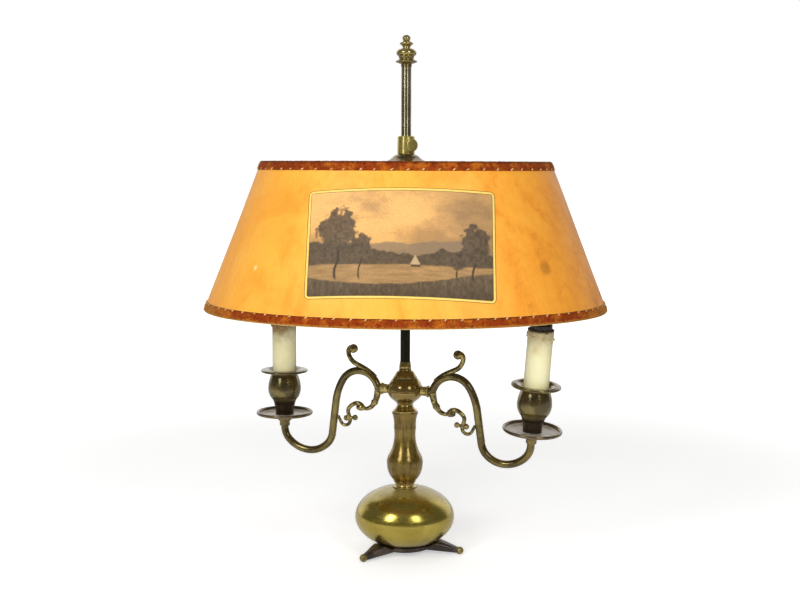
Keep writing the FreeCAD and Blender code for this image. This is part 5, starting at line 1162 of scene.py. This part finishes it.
    def build_edging(self, name: str, stations: Stations, node: str, count: int, height: float, seed: int) -> None:
        """Builds a velvet band with the row of stitches that holds it.

        Args:
            name: The band's name.
            stations: Its outline.
            node: The frame's node that it stands for.
            count: Number of stitches.
            height: Height of the stitches in millimetres.
            seed: Makes its pile differ from another's.
        """
        bm = self.banded(stations, 420, 0.9)
        self.oval(bm)
        chance = np.random.default_rng(seed)
        bm.normal_update()
        rough, most = self.pile
        for v, push in zip(bm.verts, chance.normal(0, rough, len(bm.verts))):
            v.co += v.normal * float(np.clip(push, -most, most)) * MM
        self.keep(bm, name, self.finishes.velvet, Slot.VELVET, (node,), smooth_to=180)
        angles = np.linspace(0, 2 * math.pi, 2881)
        long, wide = self.axes(height)
        walk = np.cumsum(np.hypot(np.gradient(long * np.cos(angles)), np.gradient(wide * np.sin(angles))))
        places = np.interp((np.arange(count) + 0.5 + chance.normal(0, 0.07, count)) * walk[-1] / count, walk, angles)
        bm = bmesh.new()
        leans, lengths = chance.normal(*self.stitch_lean, count), chance.normal(*self.stitch_length, count)
        for angle, lean, long_by in zip(places, leans, lengths):
            here = self.at(angle, height, -0.1)
            along = (self.at(angle + 0.004, height, 0) - self.at(angle - 0.004, height, 0)).normalized()
            up = (self.at(angle, height + 2, 0) - self.at(angle, height, 0)).normalized()
            out = along.cross(up).normalized()
            frame_of = Matrix((along, out, up)).transposed().to_4x4()
            place = (Matrix.Translation(here) @ frame_of @ Matrix.Rotation(math.radians(-lean), 4, "Y")
                     @ Matrix.Diagonal((*(Vector((float(long_by), *self.stitch_thickness)) * MM), 1)))
            bmesh.ops.create_uvsphere(bm, u_segments=8, v_segments=6, radius=1, matrix=place)
        bmesh.ops.recalc_face_normals(bm, faces=bm.faces)
        self.keep(bm, name + "_stitches", self.finishes.thread, Slot.VELVET, smooth_to=180)

    def build_picture(self) -> None:
        """Builds the printed picture, bent to the front of the skin."""
        scape = Landscape()
        width, height = PictureFinish().size
        corner = PictureFinish().corner
        bm = bmesh.new()
        bmesh.ops.create_grid(bm, x_segments=scape.columns, y_segments=scape.rows, size=0.5)
        flat = []
        for v in bm.verts:
            x, y = v.co.x * width, v.co.y * height
            past_x, past_y = abs(x) - (width / 2 - corner), abs(y) - (height / 2 - corner)
            if past_x > 0 and past_y > 0:
                shrink = max(past_x, past_y) / math.hypot(past_x, past_y)
                x = math.copysign(width / 2 - corner + past_x * shrink, x)
                y = math.copysign(height / 2 - corner + past_y * shrink, y)
            flat.append((x / width + 0.5, y / height + 0.5))
        places = np.array(flat)
        colours = scape.paint(places[:, 0], places[:, 1])
        uv = bm.loops.layers.uv.new("flat")
        ink = bm.verts.layers.float_color.new("print")
        bm.verts.index_update()
        for face in bm.faces:
            for loop in face.loops:
                loop[uv].uv = flat[loop.vert.index]
        (bl, br, tr, tl) = (Vector(c) for c in self.corners)
        for v, (s, t), colour in zip(bm.verts, flat, colours):
            v[ink] = (*colour, 1)
            x, z = (bl * (1 - s) + br * s) * (1 - t) + (tl * (1 - s) + tr * s) * t
            z += self.bow * (1 - (2 * s - 1) ** 2)
            long, wide = self.axes(z)
            angle = -math.acos(max(-1.0, min(1.0, x / (long - self.skin_inset))))
            v.co = self.at(angle, z, self.skin_inset - 0.28 - self.ripple(angle, z))
        if bm.faces[:][0].normal.y > 0:
            bmesh.ops.reverse_faces(bm, faces=bm.faces)
        bm.normal_update()
        if sum(f.normal.y for f in bm.faces) > 0:
            bmesh.ops.reverse_faces(bm, faces=bm.faces)
        piece = self.keep(bm, "shade_picture", self.finishes.picture, Slot.PARCHMENT, smooth_to=180)
        paper = piece.modifiers.new("paper", "SOLIDIFY")
        paper.thickness, paper.offset = 0.2 * MM, -1

    def build(self) -> None:
        """Builds the shade."""
        self.build_skin()
        self.build_edging("bottom_velvet", self.bottom_edging, "bottom_trim", self.stitches[0],
                          self.stitch_heights[0], 3)
        self.build_edging("top_velvet", self.top_edging, "top_trim", self.stitches[1],
                          self.stitch_heights[1], 4)
        bm = self.banded(self.cord, 300)
        self.oval(bm)
        self.keep(bm, "edge_cord", self.finishes.thread, Slot.VELVET, smooth_to=180)
        self.build_picture()
        self.keep(turned(self.dome, sides=112), "dome_turned", self.finishes.dome, Slot.BRONZE, ("dome_cap",), 0.1, 25)
        self.dress(self.finishes.steel, "bottom_wire", "top_wire")
        self.dress(self.finishes.light, "shade_fitter")


# The place where it is shown

@dataclass(frozen=True)
class SoftLamp:
    """A soft lamp: its place and its width and height in metres, and its power in watts."""
    name: str
    place: Colour
    size: tuple[float, float]
    power: float
    shines: bool = True

    def hang(self, aim: Vector) -> None:
        """Hangs the lamp so that it looks at a point."""
        data = bpy.data.lights.new(self.name, "AREA")
        data.shape, data.size, data.size_y, data.energy = "RECTANGLE", *self.size, self.power
        piece = bpy.data.objects.new(self.name, data)
        piece.location = self.place
        piece.rotation_euler = (aim - Vector(self.place)).to_track_quat("-Z", "Y").to_euler()
        piece.visible_glossy = self.shines
        piece.visible_camera = False
        bpy.context.scene.collection.objects.link(piece)


@dataclass
class Studio:
    """White floor, soft lamps, pale surroundings and the camera."""
    lamps: tuple[SoftLamp, ...] = (SoftLamp("left_lamp", (-0.84, -1.05, 1.07), (0.42, 0.85), 7.5),
                                   SoftLamp("right_lamp", (0.68, -1.16, 1.01), (0.38, 0.8), 5),
                                   SoftLamp("front_fill", (-0.25, -1.9, 0.56), (1.1, 1.0), 22, False),
                                   SoftLamp("top_fill", (0.0, -0.2, 1.9), (1.4, 1.4), 7, False))
    aim: Colour = (0, 0, 0.22)
    floor_half: float = 6
    floor_back: float = 5
    floor_drop: float = 0.0002
    floor_glow: tuple[float, float] = (0.42, 1.0)
    glow_span: tuple[float, float] = (0.4, 1.6)
    room_glow: tuple[float, float] = (0.1, 0.92)
    room_span: tuple[float, float] = (0.38, 0.6)
    camera_place: Colour = (-0.0055, -1.25, 0.3934)
    camera_pitch: float = 83.8
    camera_roll: float = 0.2
    lens: float = 56.25

    def floor(self) -> None:
        """Lays a large white floor that keeps the shadow."""
        bm = bmesh.new()
        bmesh.ops.create_grid(bm, x_segments=1, y_segments=1, size=self.floor_half,
                              matrix=Matrix.Translation((0, self.floor_back, 0)))
        mesh = bpy.data.meshes.new("floor")
        bm.to_mesh(mesh)
        bm.free()
        piece = bpy.data.objects.new("floor", mesh)
        piece.location = (0, 0, -self.floor_drop)
        bpy.context.scene.collection.objects.link(piece)
        b = Bench("floor_white")
        path = b.add("LightPath")
        far = b.add("VectorMath", operation="LENGTH")
        b.join(b.place, far.inputs[0])
        glow = b.span(far.outputs["Value"], *self.glow_span, self.floor_glow)
        b.dress(Base_Color=(0.86, 0.86, 0.855), Roughness=0.9, Emission_Color=(1.0, 1.0, 1.0),
                Emission_Strength=b.maths("MULTIPLY", path.outputs["Is Camera Ray"], glow))
        mesh.materials.append(b.material)

    def surroundings(self) -> None:
        """White to the camera; white behind the lamp and a darker room in front of it for the rest."""
        world = bpy.data.worlds.new("surroundings")
        bpy.context.scene.world = world
        world.use_nodes = True
        nodes, links = world.node_tree.nodes, world.node_tree.links
        background = nodes["Background"]
        place = nodes.new("ShaderNodeTexCoord")
        parts = nodes.new("ShaderNodeSeparateXYZ")
        links.new(place.outputs["Generated"], parts.inputs[0])
        depth = nodes.new("ShaderNodeMapRange")
        depth.interpolation_type = "SMOOTHSTEP"
        for name, value in zip(("From Min", "From Max", "To Min", "To Max"), self.room_span + self.room_glow):
            depth.inputs[name].default_value = value
        links.new(parts.outputs["Y"], depth.inputs["Value"])
        path = nodes.new("ShaderNodeLightPath")
        white = nodes.new("ShaderNodeMix")
        links.new(path.outputs["Is Camera Ray"], white.inputs["Factor"])
        links.new(depth.outputs["Result"], white.inputs[2])
        white.inputs[3].default_value = 1.0
        links.new(white.outputs[0], background.inputs["Strength"])
        background.inputs["Color"].default_value = (1, 1, 1, 1)

    def camera(self) -> None:
        """Sets up the camera at the photograph's angle."""
        data = bpy.data.cameras.new("camera")
        data.lens, data.sensor_width = self.lens, 36
        data.clip_start = 0.05
        piece = bpy.data.objects.new("camera", data)
        tilt = Matrix.Rotation(math.radians(self.camera_pitch), 4, "X")
        piece.matrix_world = (Matrix.Translation(self.camera_place) @ tilt
                              @ Matrix.Rotation(math.radians(self.camera_roll), 4, "Z"))
        bpy.context.scene.collection.objects.link(piece)
        bpy.context.scene.camera = piece

    def build(self) -> None:
        """Sets up the studio."""
        self.floor()
        self.surroundings()
        for lamp in self.lamps:
            lamp.hang(Vector(self.aim))
        self.camera()
        bpy.context.scene.view_settings.view_transform = "Standard"


def main() -> None:
    """Builds the lamp, part by part, and the studio."""
    finishes = Finishes()
    Foot(finishes).build()
    Column(finishes).build()
    CandleArm(finishes).build()
    CandleArm(finishes, side="left", heading=159.8, twist=0, lean=0, drop=33.75, bowl=(28.5, 32.5), last_run=10.2,
              end=(134.788, 128.958)).build()
    Carrier(finishes).build()
    Shade(finishes).build()
    Studio().build()


if __name__ == "__main__":
    main()
